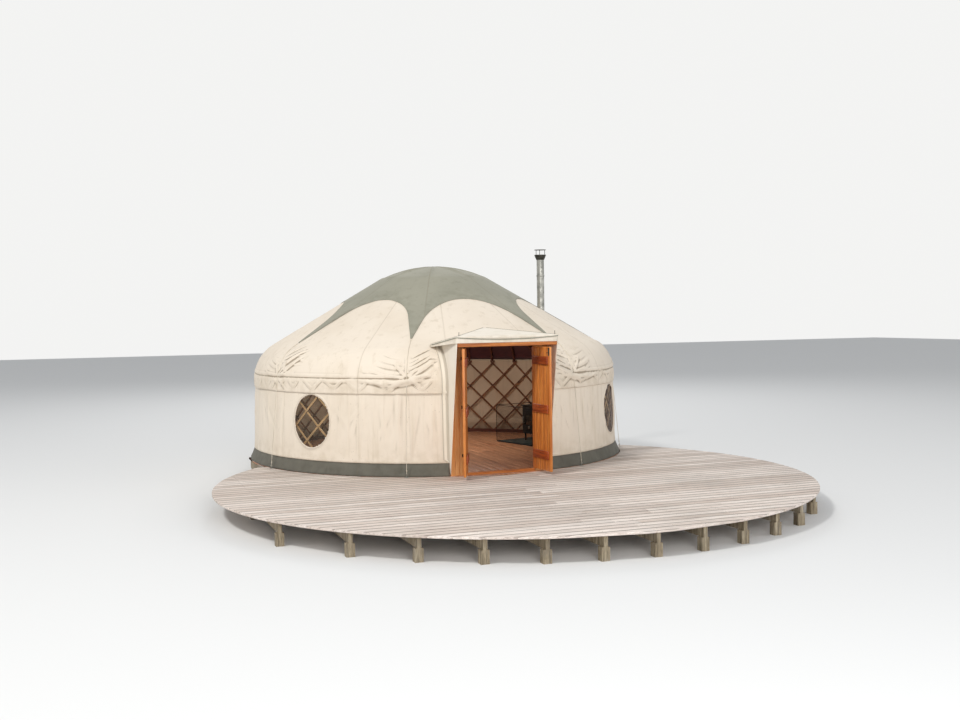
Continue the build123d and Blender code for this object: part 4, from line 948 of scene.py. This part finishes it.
def roof_lift(azimuth, distance):
    """The roof cloth's relief: poles under it, creases, the fold round the eave and the scalloped hem."""
    arc = math.radians(azimuth) * EAVE
    taut = held((distance - 0.7) / 0.4)
    lift = 0.0016 * taut * pole_wave(azimuth)
    lift += 0.003 * rough_at(arc * 0.9, distance * 1.1, 21)
    lift += 0.004 * bell(distance, 0.42, 0.22) * rough_at(arc * 2.3, distance * 4.0, 22)
    lift += crease_lift(ROOF_CREASES, arc, distance)
    fold = fold_at(arc)
    beside = min(max((abs(azimuth) - 24) / 10, 0.25), 1.0)
    lift += beside * (0.011 * bell(distance, fold + 0.030, 0.026) - 0.006 * bell(distance, fold, 0.010))
    lift += 0.0045 * bell(distance, fold - 0.035, 0.03)
    if distance > FOLD + 0.03:
        press = min(abs(turn_from(azimuth, tip)) for tip in STAR_TIPS) * math.pi / 180 * EAVE
        lift = min(lift, 0.002 + 0.03 * (1 - bell(press, 0.0, 0.03)))
    hang = max(1 - distance / 0.2, 0.0)
    lift += hang * (0.007 * rough_at(arc * 2.1, 0.0, 27) + 0.004 * rough_at(arc * 6.0, 0.0, 28) + 0.003)
    lift *= held((abs(azimuth) - 16.4) / 2.4)
    if distance > 0.5:
        lift *= held((abs(azimuth) - 18.5) / 3.5)
    return min(max(lift, -0.0035), 0.030)


def roof_place(azimuth, distance):
    azimuth = turn_from(azimuth, 0)
    radius, height = roof_line(distance, roof_lift(azimuth, distance))
    drop = 0.007 * max(1 - distance / 0.12, 0.0) * abs(rough_at(math.radians(azimuth) * 5.6, 0.0, 29))
    return out_along(azimuth) * radius + Vector((0, 0, height - drop))


def hood_outline(point):
    """Metres outside the doorway's cut through the roof cloths, in plan."""
    if point.y > 0:
        return 1.0
    slant = -2.42 - max(abs(point.x) - 0.06, 0.0) * (0.22 / 0.706)
    return max(abs(point.x) - 0.766, (point.y - slant) * 0.95)


flue_out = Vector((math.cos(STOVE_TURN), math.sin(STOVE_TURN), 0))
flue_along = Vector((-flue_out.y, flue_out.x, 0))
flue = flue_out * FLUE_OUT + flue_along * STOVE_ALONG


def flue_outline(point):
    return math.hypot(point.x - flue.x, point.y - flue.y) - 0.081


roof_rows = spread(0.0, 0.12, 7)[:-1] + spread(0.12, 0.80, 46)[:-1] + spread(0.80, ROOF_REACH, 24)
ROOF_SEAM = 96.0


def roof_seam(azimuth, distance):
    """Metres along a roof cloth to its nearest seam."""
    return to_seam(azimuth, max(roof_line(distance, 0)[0], 0.1))


def roof_part(name, start, end, count):
    """One part of the roof cloth, between two of its seams."""
    return cloth(name, spread(start, end, count), roof_rows, roof_place,
                 lambda azimuth, distance: (roof_seam(azimuth, distance), distance), CANVAS, 0.0025,
                 [hood_outline, flue_outline])


roof_front = roof_part("roof_cloth_front", -ROOF_SEAM, ROOF_SEAM, 600)
roof_back = roof_part("roof_cloth_back", ROOF_SEAM, 360 - ROOF_SEAM, 280)
seat(roof_front, "yurt", "canvas", "roof_canvas", "roof_valance")
seat(roof_back, "yurt", "canvas")

lining_foot = EAVE_RISE + math.asin((DECK + 1.412 - EAVE_MIDDLE[1]) / (EAVE_BEND - 0.0083)) * EAVE_BEND


def lining_place(azimuth, distance):
    arc = math.radians(azimuth) * EAVE
    sag = 0.0035 * rough_at(arc * 2.2, distance * 1.7, 31) - 0.0015 * pole_wave(azimuth)
    radius, height = roof_line(distance, -0.0125 + sag * 0.6)
    return out_along(azimuth) * radius + Vector((0, 0, height))


roof_lining = cloth(
    "lining_cloth", spread(-180.0, 180.0, 480), spread(lining_foot, ROOF_REACH, 44), lining_place,
    lambda azimuth, distance: (roof_seam(azimuth, distance), distance - lining_foot), LINING, 0.002,
    [hood_outline, flue_outline], 0.017)
seat(roof_lining, "yurt", "lining", "roof_lining")

# The star: arms with straight sides and bays with round tops
dome_rise = DOME_TOP - roof_line(ROOF_REACH, 0)[1]
dome_radius = (RING**2 + dome_rise**2) / (2 * dome_rise)
ARM, BAY, ARM_ANGLE, HALF_TIP, STRUT_RIDGE = 2.5, 1.5, 13.0, 0.012, 0.038


def star_bay(middle, half_bay):
    """The outline of one bay between two tips, from shoulder to shoulder."""
    lean = math.radians(half_bay + ARM_ANGLE)
    run = ARM * math.cos(math.radians(half_bay)) - BAY
    half = ARM * math.sin(math.radians(half_bay)) - run * math.tan(lean)
    out, along = out_along(middle), out_along(middle + 90)
    chord_half = half * (1 + math.sin(lean))
    rise = half * math.cos(lean)
    radius = (chord_half**2 + rise**2) / (2 * rise)
    centre = out * (BAY + radius)
    spread_turn = math.asin(min(chord_half / radius, 1.0))
    if rise > radius:
        spread_turn = math.pi - spread_turn
    return [centre - out * (radius * math.cos(turn)) + along * (radius * math.sin(turn))
            for turn in spread(-spread_turn, spread_turn, 22)]


def star_outline():
    """The star's edge in plan, at even steps."""
    corners = []
    tips = list(STAR_TIPS)
    for tip, following in zip(tips, tips[1:] + tips[:1]):
        half_bay = ((following - tip) % 360) / 2
        out = out_along(tip)
        along = Vector((-out.y, out.x, 0)) * HALF_TIP
        corners += [out * STAR_TIPS[tip] - along, out * STAR_TIPS[tip] + along]
        corners += star_bay(tip + half_bay, half_bay)
    dense = []
    for here, after in zip(corners, corners[1:] + corners[:1]):
        count = max(int((after - here).length / 0.028), 1)
        dense += [here.lerp(after, k / count) for k in range(count)]
    return dense


edge_points = star_outline()


def star_ray(column):
    """The star's edge at a column: its point, its azimuth and the turn to the nearest strut."""
    edge = edge_points[int(column) % len(edge_points)]
    azimuth = math.degrees(math.atan2(edge.x, -edge.y))
    return edge, azimuth, min(abs(turn_from(azimuth, 22.5 + 45 * k)) for k in range(8))


def star_place(column, share):
    """A point of the star cap: draped over the struts on the dome, then lying down the slope."""
    edge, azimuth, off_strut = star_ray(column)
    radius = max(edge.length * share, 1e-4)
    ridge = bell(off_strut * radius * math.pi / 180, 0.0, STRUT_RIDGE)
    ripple = 0.0018 * rough_at(edge.x * share * 3, edge.y * share * 3, 41)
    if radius < RING:
        droop = 0.024 * (1 - ridge) * math.sin(math.pi * min(radius / RING, 1)) ** 0.7
        reach = dome_radius + 0.0045
        height = DOME_TOP - dome_radius + math.sqrt(reach**2 - radius**2) - droop + ripple
    else:
        reach = SLOPE_REACH + 0.0085
        height = (reach - radius * math.sin(SLOPE)) / math.cos(SLOPE) + max(ripple, -0.001)
        height += 0.0015 * pole_wave(azimuth) * bell(share, 0.85, 0.2)
    return out_along(azimuth) * radius + Vector((0, 0, height))


def star_cut(column, share):
    edge, _, off_strut = star_ray(column)
    return off_strut * math.pi / 180 * edge.length * share, edge.length * (1 - share) * 0.62


star_rows = [0.004] + spread(0.06, 0.97, 28) + [0.985, 0.995, 1.0]
star_columns = list(range(len(edge_points) + 1))
star_cap = cloth("star_cloth", star_columns, star_rows, star_place, star_cut, STAR, 0.003)
seat(star_cap, "yurt", "star_canvas", "star_cap")

# Hood over the doorway

RAIL_TOP, FRONT, HALF, SKIRT, TAIL_SKIRT = DECK + 1.972, -3.3053, 0.758, 0.094, 0.038
SIDE_STEPS, FRONT_STEPS = 30, 60
apex = Vector((0, -2.350, DECK + 2.078))


def roof_height(radius):
    """The level of the roof's outer face at a radius."""
    if radius > SLOPE_START:
        return EAVE_MIDDLE[1] + math.sqrt(max(EAVE_BEND**2 - (radius - EAVE_MIDDLE[0]) ** 2, 0.0))
    return (SLOPE_REACH - radius * math.sin(SLOPE)) / math.cos(SLOPE)


def cover_radius(height):
    """The radius of the outermost cloth at a height, on the wall or over the eave."""
    if height < HEM:
        return wall_radius(height)
    if height < EAVE_MIDDLE[1]:
        return EAVE
    return EAVE_MIDDLE[0] + math.sqrt(max(EAVE_BEND**2 - (height - EAVE_MIDDLE[1]) ** 2, 0.0))


def hood_edge():
    """The hood's ridge line from tail to tail, with the way out at each step: back edges, sides and front."""
    tails = [Vector((side * 0.900, -2.555, DECK + 1.856)) for side in (-1, 1)]
    corners = [Vector((side * HALF, FRONT, RAIL_TOP + 0.003)) for side in (-1, 1)]
    left, ahead, right = Vector((-1, 0, 0)), Vector((0, -1, 0)), Vector((1, 0, 0))
    path = []
    legs = ((tails[0], corners[0], left, SIDE_STEPS), (corners[0], corners[1], ahead, FRONT_STEPS),
            (corners[1], tails[1], right, SIDE_STEPS))
    for here, after, out, count in legs:
        path += [(here.lerp(after, k / count), out) for k in range(count)]
    return path + [(tails[1], right)]


hood_path = hood_edge()
LAST = len(hood_path) - 1


def skirt_depth(column):
    """How far the hood's flap hangs at a step of its edge: even across the front, less towards the tails."""
    back = max(SIDE_STEPS - column, column - (LAST - SIDE_STEPS), 0) / SIDE_STEPS
    return SKIRT - (SKIRT - TAIL_SKIRT) * back


def overhang(column):
    """How far the top cloth sags over the front, between its two corners."""
    spot = hood_path[min(max(int(column), 0), LAST)][0]
    if not SIDE_STEPS <= column <= LAST - SIDE_STEPS:
        return 0.012
    return 0.014 + 0.034 * (1 - (spot.x / HALF) ** 2)


def hood_place(column, share):
    """A point of the hood's top cloth: past the tails it turns down on the roof, past the edge it hangs."""
    column = int(column)
    spot, out = hood_path[min(max(column, 0), LAST)]
    lift = Vector((0, 0, 0.0095))
    if share > 1.0:
        over = (share - 1.0) / 0.1
        sway = 0.0015 * rough_at(spot.x * 6, spot.y * 6, 50)
        return spot + lift + out * (0.0085 + sway) - Vector((0, 0, 0.003 + overhang(column) * over))
    point = apex.lerp(spot, share)
    beyond = max(-column, column - LAST, 0)
    if beyond:
        low = roof_height(math.hypot(point.x, point.y - 0.02)) + 0.006
        side = 1 if column > 0 else -1
        point = point + Vector((side * 0.012, 0.022, 0)) * beyond * 0.5
        point.z += (low - point.z) * beyond / 2 - (0.0 if beyond == 1 else lift.z)
        return point + lift
    ripple = 0.0035 * rough_at(point.x * 3.0, point.y * 4.0, 51) * share
    ripple += 0.002 * rough_at(point.x * 9, point.y * 3, 54) * share
    pull = max(bell(point.x, side * HALF, 0.35) for side in (-1, 1)) * bell(share, 0.85, 0.25)
    folds = 0.0035 * pull * math.cos(34 * (point.y + abs(point.x) * 0.45))
    rise = (max(ripple, -0.002) + max(folds, -0.001)) * min((1 - share) * 12, 1)
    return point + lift + Vector((0, 0, rise))


hood_top = cloth(
    "hood_cloth", list(range(-2, LAST + 3)), [0.01] + spread(0.06, 1.0, 30) + [1.03, 1.1], hood_place,
    lambda column, share: (0.4, abs(1.1 - share) * 0.95), HOOD, 0.002)
seat(hood_top, "yurt", "canvas", "hood_canvas")


def skirt_place(column, share):
    """The hood's flap, hanging below the rail and back along both sides."""
    spot, out = hood_path[int(column)]
    corner = bell(column, SIDE_STEPS, 1.5) + bell(column, LAST - SIDE_STEPS, 1.5)
    wave = 0.0032 * abs(rough_at(spot.x * 5.0 + spot.y * 5.0, share * 1.5, 52)) * share
    return spot + out * (0.0045 + wave + 0.001 * corner) + Vector((0, 0, 0.006 - skirt_depth(column) * share))


hood_flap = cloth(
    "hood_flap", list(range(LAST + 1)), spread(0.0, 1.0, 10), skirt_place,
    lambda column, share: (0.4, (1 - share) * 0.1), HOOD, 0.002)
seat(hood_flap, "yurt", "canvas")


def binding_place(column, share):
    """The grey tape along the edge of the top cloth's overhang."""
    spot, out = hood_path[int(column)]
    level = 0.0075 - overhang(column) + 0.004 - 0.013 * share
    return spot + out * 0.0108 + Vector((0, 0, level))


hood_binding = cloth("hood_binding", list(range(2, LAST - 1)), [0.0, 0.5, 1.0], binding_place,
                     lambda column, share: (0.4, 0.5), STAR, 0.0015)
seat(hood_binding, "yurt", "star_canvas")


WING, WING_LAP, WING_FOOT = 0.7595, 0.088, DECK + 0.012


def wing_span(height):
    """Where a wing starts and ends in Y at a height: from the rail's slant to the roof."""
    front = -2.953 + (FRONT + 2.955) * min((height - WING_FOOT) / (RAIL_TOP - 0.1 - WING_FOOT), 1.0)
    surface = -math.sqrt((cover_radius(height) + 0.004) ** 2 - WING**2)
    ridge = FRONT + (RAIL_TOP + 0.002 - height) * (0.75 / 0.119)
    return front, max(min(surface, ridge), front + 0.002)


def wing(side):
    def place(height, share):
        front, back = wing_span(height)
        if share <= 0.8:
            y = front + (back - front) * share / 0.8
            soft = 0.003 * rough_at(y * 6.0, height * 1.3, 53 + side) * math.sin(math.pi * share / 0.8)
            return Vector((side * (WING + abs(soft)), y, height))
        wide = WING_LAP * (held((DECK + 1.855 - height) / 0.03) * held((height - DECK - 0.20) / 0.02))
        lap = wide * (share - 0.8) / 0.2
        x, radius = WING + lap, cover_radius(height) + 0.0065
        if height < HEM:
            radius += 0.012 * held((height - HEM + 0.06) / 0.06)
        return Vector((side * x, min(-math.sqrt(radius**2 - x**2), back + 0.002) if lap else back, height))

    name = "hood_wing_left" if side < 0 else "hood_wing_right"
    return cloth(name, spread(WING_FOOT, RAIL_TOP - 0.002, 70), spread(0.0, 1.0, 20), place,
                 lambda height, share: ((1 - share) * 0.25, 0.3), HOOD, 0.002)


wings = [wing(-1), wing(1)]
seat(wings[0], "yurt", "canvas", "hood_wings")
seat(wings[1], "yurt", "canvas")

# Ropes, eyelets and anchors


def rope_points(azimuth):
    """A tie rope's line: from the star's tip, over the eave and taut down to its anchor."""
    on_deck = abs(azimuth) < 90
    lift, anchor, foot = 0.0052, 3.112, DECK + 0.0383 if on_deck else DECK - 0.0691
    fall = (anchor - EAVE_MIDDLE[0], foot - EAVE_MIDDLE[1])
    leave = math.acos((EAVE_BEND + lift) / math.hypot(*fall)) + math.atan2(fall[1], fall[0])
    bend_top = EAVE_RISE + BEND_END * EAVE_BEND
    start = bend_top + (SLOPE_START - STAR_TIPS[azimuth] - 0.006) / math.cos(SLOPE)
    profile = [roof_line(d, lift) for d in spread(start, bend_top, 6)]
    reach = EAVE_BEND + lift
    profile += [(EAVE_MIDDLE[0] + reach * math.cos(t), EAVE_MIDDLE[1] + reach * math.sin(t))
                for t in spread(BEND_END, leave, 24)[1:]]
    last = profile[-1]
    profile += [(last[0] + (anchor - last[0]) * k / 20, last[1] + (foot - last[1]) * k / 20)
                for k in range(1, 21)]
    return [out_along(azimuth) * r + Vector((0, 0, z)) for r, z in profile]


def coil(centre, axis, radius, turns, thickness, name):
    """A few turns of rope bound round a knot."""
    up = Vector(axis).normalized()
    side = up.orthogonal().normalized()
    front = up.cross(side)
    points = []
    for k in range(turns * 16 + 1):
        turn = 2 * math.pi * k / 16
        ray = side * radius * math.cos(turn) + front * radius * math.sin(turn)
        points.append(Vector(centre) + ray + up * (thickness * (k / 16 - turns / 2)))
    return rope_along(name, points, thickness, ROPE)


ropes, knots, eyelets, eyes = [], [], [], []
ring = [(0.006, 0.0), (0.007, 0.0022), (0.011, 0.0022), (0.013, 0.0), (0.012, -0.001), (0.007, -0.001)]
eye = [(0.0115 + 0.0035 * math.cos(a), 0.0035 * math.sin(a)) for a in spread(0, 2 * math.pi, 8)[:-1]]
fold_radius, fold_level = roof_line(0.285, 0.0)
for tip in STAR_TIPS:
    line = rope_points(tip)
    ropes.append(rope_along("rope", line, 0.009, ROPE))
    way = (line[1] - line[0]).normalized()
    knots.append(coil(line[0] + way * 0.018, way, 0.0062, 3, 0.005, "knot"))
    fall = (line[-1] - line[-2]).normalized()
    knots.append(coil(line[-1] - fall * 0.055, fall, 0.0066, 4, 0.006, "knot"))
    out, along = out_along(tip), out_along(tip + 90)
    upward = Vector((out.x * math.sin(SLOPE), out.y * math.sin(SLOPE), math.cos(SLOPE)))
    eyelets.append(turned_solid("eyelet", ring, line[0] - way * 0.026 - upward * 0.0008, BRASS, 20, upward))
    fold_spot = out * (fold_radius + 0.0012) + Vector((0, 0, fold_level))
    eyelets.append(turned_solid("eyelet", ring, fold_spot + along * 0.012, BRASS, 20, out))
    eyes.append(turned_solid("eye", eye, line[-1] + Vector((0, 0, 0.001)), ZINC, 24, along))
seat(joined("tie_ropes_laid", ropes), "yurt", "rope", "tie_ropes")
seat(joined("rope_knots", knots), "yurt", "rope")
seat(joined("star_eyelets", eyelets), "yurt", "zinc")
seat(joined("anchor_eyes", eyes), "yurt", "zinc")

piping = []
for side in (-1, 1):
    corner = hood_path[SIDE_STEPS if side < 0 else LAST - SIDE_STEPS][0]
    tail = hood_path[0 if side < 0 else LAST][0]
    raised = Vector((0, 0, 0.0125))
    line = [apex.lerp(corner, t) + raised for t in spread(0.03, 0.985, 24)]
    line += [corner.lerp(tail, t) + raised for t in spread(0.0, 1.0, 20)[1:]]
    piping.append(rope_along("piping", line, 0.005, STAR))
seat(joined("hood_piping", piping), "yurt", "star_canvas")

# Lattice rivets


def lattice_rivets():
    """A rivet through each crossing of the lattice, with a head on both faces."""
    spots = []
    start = 180 - CROSSINGS * HALF_PITCH / 2
    for line in range(CROSSINGS + 1):
        out = out_along(start + line * HALF_PITCH)
        for row in range(ROWS + 1):
            if (line + row) % 2 == 0:
                height = LATTICE_FOOT + row * ROW
                spots.append((out * (LATTICE - 0.0001) + Vector((0, 0, height)), out))
                spots.append((out * (LATTICE - 2 * BAR_THICK) + Vector((0, 0, height)), -out))
    return heads("lattice_rivets", spots, STEEL, 0.0065, 0.0028)


seat(lattice_rivets(), "yurt", "hinge_steel")

# Doorway


def post_planks():
    """Three upright planks on each door post."""
    kept = []
    for side in (-1, 1):
        for k in range(3):
            wide = (POST_OUTER - OPENING) / 3
            near, far = OPENING + k * wide + 0.0005, OPENING + (k + 1) * wide - 0.0005
            low, high = sorted((side * near, side * far))
            plan = oblong(low, high, WALL_PLANE, WALL_PLANE + 0.045)
            kept.append((plan, DECK, DECK + 1.820, 0.3 + 0.25 * k))
    # The posts' pine carries painted light, lightened for the sun it misses
    return boards("post_planks", kept, PALE_PINE_LIT, 0.004)


seat(post_planks(), "yurt", "door_timber", "door_posts")


def swing(side, angle):
    """The turn of a leaf about its hinge line."""
    hinge = Vector((side * OPENING, WALL_PLANE - 0.006, 0))
    turn = Matrix.Rotation(math.radians(side * angle), 4, "Z")
    return Matrix.Translation(hinge) @ turn @ Matrix.Translation(-hinge)


def leaf(side, angle, body, name):
    """A ledged door leaf: five boards with eased joints, three ledges and their screws."""
    turn = swing(side, angle)
    low, high = sorted((side * 0.003, side * (OPENING - 0.006)))
    wide = (high - low) / 5
    back = WALL_PLANE + 0.035
    planks = [(oblong(low + k * wide + 0.0004, low + (k + 1) * wide - 0.0004, WALL_PLANE, back), DECK + 0.048,
               DECK + 1.812, 0.5 + 0.5 * rough_at(k * 4.3, side * 2.0, 61)) for k in range(5)]
    seat(boards(f"leaf_boards_{name}", planks, PINE, 0.004, turn), body, "door_timber", f"leaf_{name}")
    levels = (0.215, 0.870, 1.560)
    plan = oblong(low + 0.040, high - 0.040, back + 0.0003, back + 0.022)
    ledges = [(plan, DECK + z, DECK + z + 0.118, 0.2 + 0.3 * k) for k, z in enumerate(levels)]
    seat(boards(f"ledge_boards_{name}", ledges, LEDGE, 0.005, turn), body, "ledge_timber", f"ledges_{name}")
    spots = []
    facing = turn.to_3x3() @ Vector((0, 1, 0))
    for z in levels:
        for k in range(5):
            for dz in (0.032, 0.086):
                spots.append((turn @ Vector((low + (k + 0.5) * wide, back + 0.0219, DECK + z + dz)), facing))
    seat(heads(f"ledge_screws_{name}", spots, STEEL, 0.0048, 0.0016), body, "hinge_steel")
    return turn, low, back


leaf(-1, 113.0, "door_left", "left")
right_turn, right_low, right_back = leaf(1, 95.0, "door_right", "right")


def bolt(turn, x, y):
    """A barrel bolt near the top of the leaf: its plate, barrel and knob."""
    low = DECK + 1.690
    kept = [(oblong(x - 0.015, x + 0.015, y, y + 0.002), low, low + 0.105, 0.5)]
    plate = boards("bolt_plate", kept, STEEL, 0.0006, turn)
    up = [(0.0001, 0.0), (0.006, 0.0), (0.006, 0.115), (0.0001, 0.115)]
    centre = turn @ Vector((x, y + 0.009, low - 0.004))
    barrel = turned_solid("bolt_barrel", up, centre, STEEL, 16)
    side = turn.to_3x3() @ Vector((0, 1, 0))
    stem = [(0.0001, 0), (0.004, 0), (0.004, 0.014), (0.007, 0.018), (0.006, 0.024), (0.0001, 0.025)]
    knob = turned_solid("bolt_knob", stem, turn @ Vector((x, y + 0.012, low + 0.040)), STEEL, 16, side)
    return joined("door_bolt", [plate, barrel, knob])


seat(bolt(right_turn, right_low + 0.020, right_back), "door_right", "hinge_steel")

# Stove corner


def stove_place(out, along, height):
    return flue_out * out + flue_along * (STOVE_ALONG + along) + Vector((0, 0, height))


GUARD = 0.660


def guard_panel(name, centre_out, centre_along, across, width):
    """The wires of one side of the fire guard."""
    empty = bpy.data.meshes.new(name)
    panel = grown(name, empty, WIRES, IRON, Panel_Width=width - 0.012, Panel_Height=GUARD - 0.02,
                  Wires_Across=int(width / 0.025), Wires_Up=26, Wire_Radius=0.0009)
    up = Vector((0, 0, 1))
    face = Matrix((across, up, across.cross(up))).transposed().to_4x4()
    face.translation = stove_place(centre_out, centre_along, DECK + 0.0003 + GUARD / 2)
    panel.data.transform(face)
    return panel


def bar_frame(name, centre_out, centre_along, across, width):
    """The round bar frame of a guard panel, with softly bent corners."""
    half, high, corner = width / 2, GUARD / 2 - 0.006, 0.03
    middle = stove_place(centre_out, centre_along, DECK + 0.0003 + GUARD / 2)
    path = []
    for cx, cz, start in ((half - corner, high - corner, 0), (-half + corner, high - corner, 90),
                          (-half + corner, -high + corner, 180), (half - corner, -high + corner, 270)):
        for t in spread(math.radians(start), math.radians(start + 90), 6):
            up = Vector((0, 0, cz + corner * math.sin(t)))
            path.append(middle + across * (cx + corner * math.cos(t)) + up)
    curve = curve_through(name, path, True)
    curve.bevel_depth, curve.bevel_resolution = 0.0055, 3
    return settled(link(name, curve, IRON))


guard = []
near, far, half_guard = 1.508, 2.380, 0.516
for at_out, at_along, way, width in (
        (near, 0.0, flue_along, 2 * half_guard), ((near + far) / 2, half_guard, flue_out, far - near),
        ((near + far) / 2, -half_guard, flue_out, far - near)):
    guard += [guard_panel("wires", at_out, at_along, way, width),
              bar_frame("frame", at_out, at_along, way, width)]
seat(joined("guard_wires", guard), "yurt", "stove_black", "fire_guard")


def stove_details():
    """The stove's glass, its handle and the air wheel under it."""
    face = 2.050 - 0.190 - 0.0003 - 0.016
    corners = ((0.006, -0.112), (0.006, 0.112), (0.010, 0.112), (0.010, -0.112))
    plan = [tuple(stove_place(face + depth, along, 0).to_2d()) for depth, along in corners]
    glass = boards("stove_glass", [(plan, DECK + 0.299, DECK + 0.481, 0.5)], STOVE_GLASS, 0.001)
    seat(glass, "yurt", "stove_black")
    profile = [(0.0001, 0), (0.006, 0), (0.006, 0.03), (0.011, 0.036), (0.011, 0.120), (0.006, 0.126),
               (0.0001, 0.126)]
    handle = turned_solid("handle", profile, stove_place(face - 0.030, 0.140, DECK + 0.330), ZINC, 20)
    stem = turned_solid("stem", [(0.0001, 0), (0.005, 0), (0.005, 0.032), (0.0001, 0.032)],
                        stove_place(face, 0.140, DECK + 0.345), ZINC, 14, -flue_out)
    wheel = turned_solid("wheel", [(0.0001, 0), (0.022, 0), (0.022, 0.008), (0.014, 0.013), (0.0001, 0.013)],
                         stove_place(face, 0.0, DECK + 0.262), ZINC, 28, -flue_out)
    seat(joined("stove_fittings", [handle, stem, wheel]), "yurt", "zinc")


stove_details()


def flue_bands():
    """The swaged joints of the flue and its locking bands."""
    band = [(0.0655, 0.0), (0.0690, 0.002), (0.0700, 0.010), (0.0700, 0.028), (0.0690, 0.036),
            (0.0655, 0.038)]
    return joined("flue_bands", [turned_solid("band", band, (flue.x, flue.y, height), ZINC, 48)
                                 for height in (DECK + 1.05, DECK + 1.95, DECK + 2.93)])


seat(flue_bands(), "yurt", "zinc")

# Finishes of the frame's own pieces

worn_by = {
    UNDERFRAME: ("deck_joists", "deck_posts", "platform_joists", "platform_posts", "platform_rim"),
    KERB: ("floor_kerb", "roof_poles"),
    STAINED: (*(f"lattice_{k}" for k in range(1, 6)), "door_pole_beam", "crown_ring", "crown_struts"),
    PANE: ("window_panes",),
    PINE_ACROSS: ("door_head", "door_sill", "porch_rail", "porch_arms"),
    STEEL: ("hood_pegs", "hinges_left", "hinges_right", "hinges_frame"),
    SLATE: ("hearth",),
    IRON: ("stove_body", "stove_legs", "stove_door"),
    ZINC: ("flue_pipe", "rope_anchors"),
    SOOT: ("flue_cowl",),
    RUBBER: ("flue_flashing",),
}
for material, names in worn_by.items():
    for name in names:
        nodes[name].data.materials.clear()
        nodes[name].data.materials.append(material)

# Floor, light and camera


def stage_floor():
    """A wide pale floor that keeps the deck's shadow."""
    mesh = bpy.data.meshes.new("studio_floor")
    mesh.from_pydata([(-60, -60, 0), (60, -60, 0), (60, 60, 0), (-60, 60, 0)], [], [(0, 1, 2, 3)])
    material, _, shader = finish("studio_floor", 0.9)
    shader.inputs["Base Color"].default_value = (0.80, 0.80, 0.79, 1.0)
    link("studio_floor", mesh, material)


def lamp(name, place, aim, size, power, colour=(1.0, 1.0, 1.0)):
    data = bpy.data.lights.new(name, "AREA")
    data.shape, data.size, data.energy, data.color = "DISK", size, power, colour
    obj = added(name, data)
    obj.location = place
    obj.rotation_euler = (Vector(aim) - Vector(place)).to_track_quat("-Z", "Y").to_euler()


def surroundings():
    """Even pale light from all round, and a pale background where it is seen directly."""
    world = bpy.data.worlds.new("studio")
    bpy.context.scene.world = world
    world.use_nodes = True
    tree = world.node_tree
    plain = tree.nodes["Background"]
    plain.inputs["Color"].default_value = (0.93, 0.96, 1.0, 1.0)
    plain.inputs["Strength"].default_value = 0.48
    seen = wire(tree, "Background", Color=(0.90, 0.90, 0.89, 1.0), Strength=1.0)
    path = wire(tree, "LightPath")
    direct = sums(tree, "MAXIMUM", path.outputs["Is Camera Ray"],
                  sums(tree, "MAXIMUM", path.outputs["Is Glossy Ray"], path.outputs["Is Transmission Ray"]))
    both = wire(tree, "MixShader", Fac=direct, i1=plain.outputs[0], i2=seen.outputs[0])
    tree.links.new(both.outputs[0], tree.nodes["World Output"].inputs["Surface"])


def photo_camera():
    """The camera at the photograph's viewing angle."""
    round_yurt, away, level = math.radians(-18.2), 18.529, 2.6015
    yaw, pitch, roll = 0.0411, -0.0426, -0.0143
    ahead = Vector((math.sin(yaw) * math.cos(pitch), math.cos(yaw) * math.cos(pitch), math.sin(pitch)))
    right = Vector((math.cos(yaw), -math.sin(yaw), 0))
    up = right.cross(ahead)
    level_right = right * math.cos(roll) + up * math.sin(roll)
    level_up = up * math.cos(roll) - right * math.sin(roll)
    data = bpy.data.cameras.new("photo_camera")
    data.lens, data.sensor_width, data.clip_end = 41.25, 36.0, 200.0
    camera = added("photo_camera", data)
    turned = Matrix((level_right, level_up, -ahead)).transposed().to_4x4()
    around = Matrix.Rotation(round_yurt, 4, "Z")
    camera.matrix_world = around @ Matrix.Translation((0, -away, level)) @ turned
    bpy.context.scene.camera = camera


stage_floor()
lamp("key", (-16, -11, 20), (0, -1, 1), 3.5, 2900, (1.0, 0.985, 0.96))
lamp("front", (-3, -21, 6), (0, -1, 1), 6.0, 950)
lamp("fill", (14, -14, 9), (0, -1, 1), 12.0, 420, (0.97, 0.98, 1.0))
lamp("back", (6, 16, 14), (0, 0, 1), 10.0, 1000)
lamp("inner", (0.0, 0.2, 2.75), (0.0, 0.2, 0.3), 2.4, 50, (1.0, 0.93, 0.86))
surroundings()
photo_camera()
bpy.context.scene.view_settings.view_transform = "Standard"

bpy.context.view_layer.update()
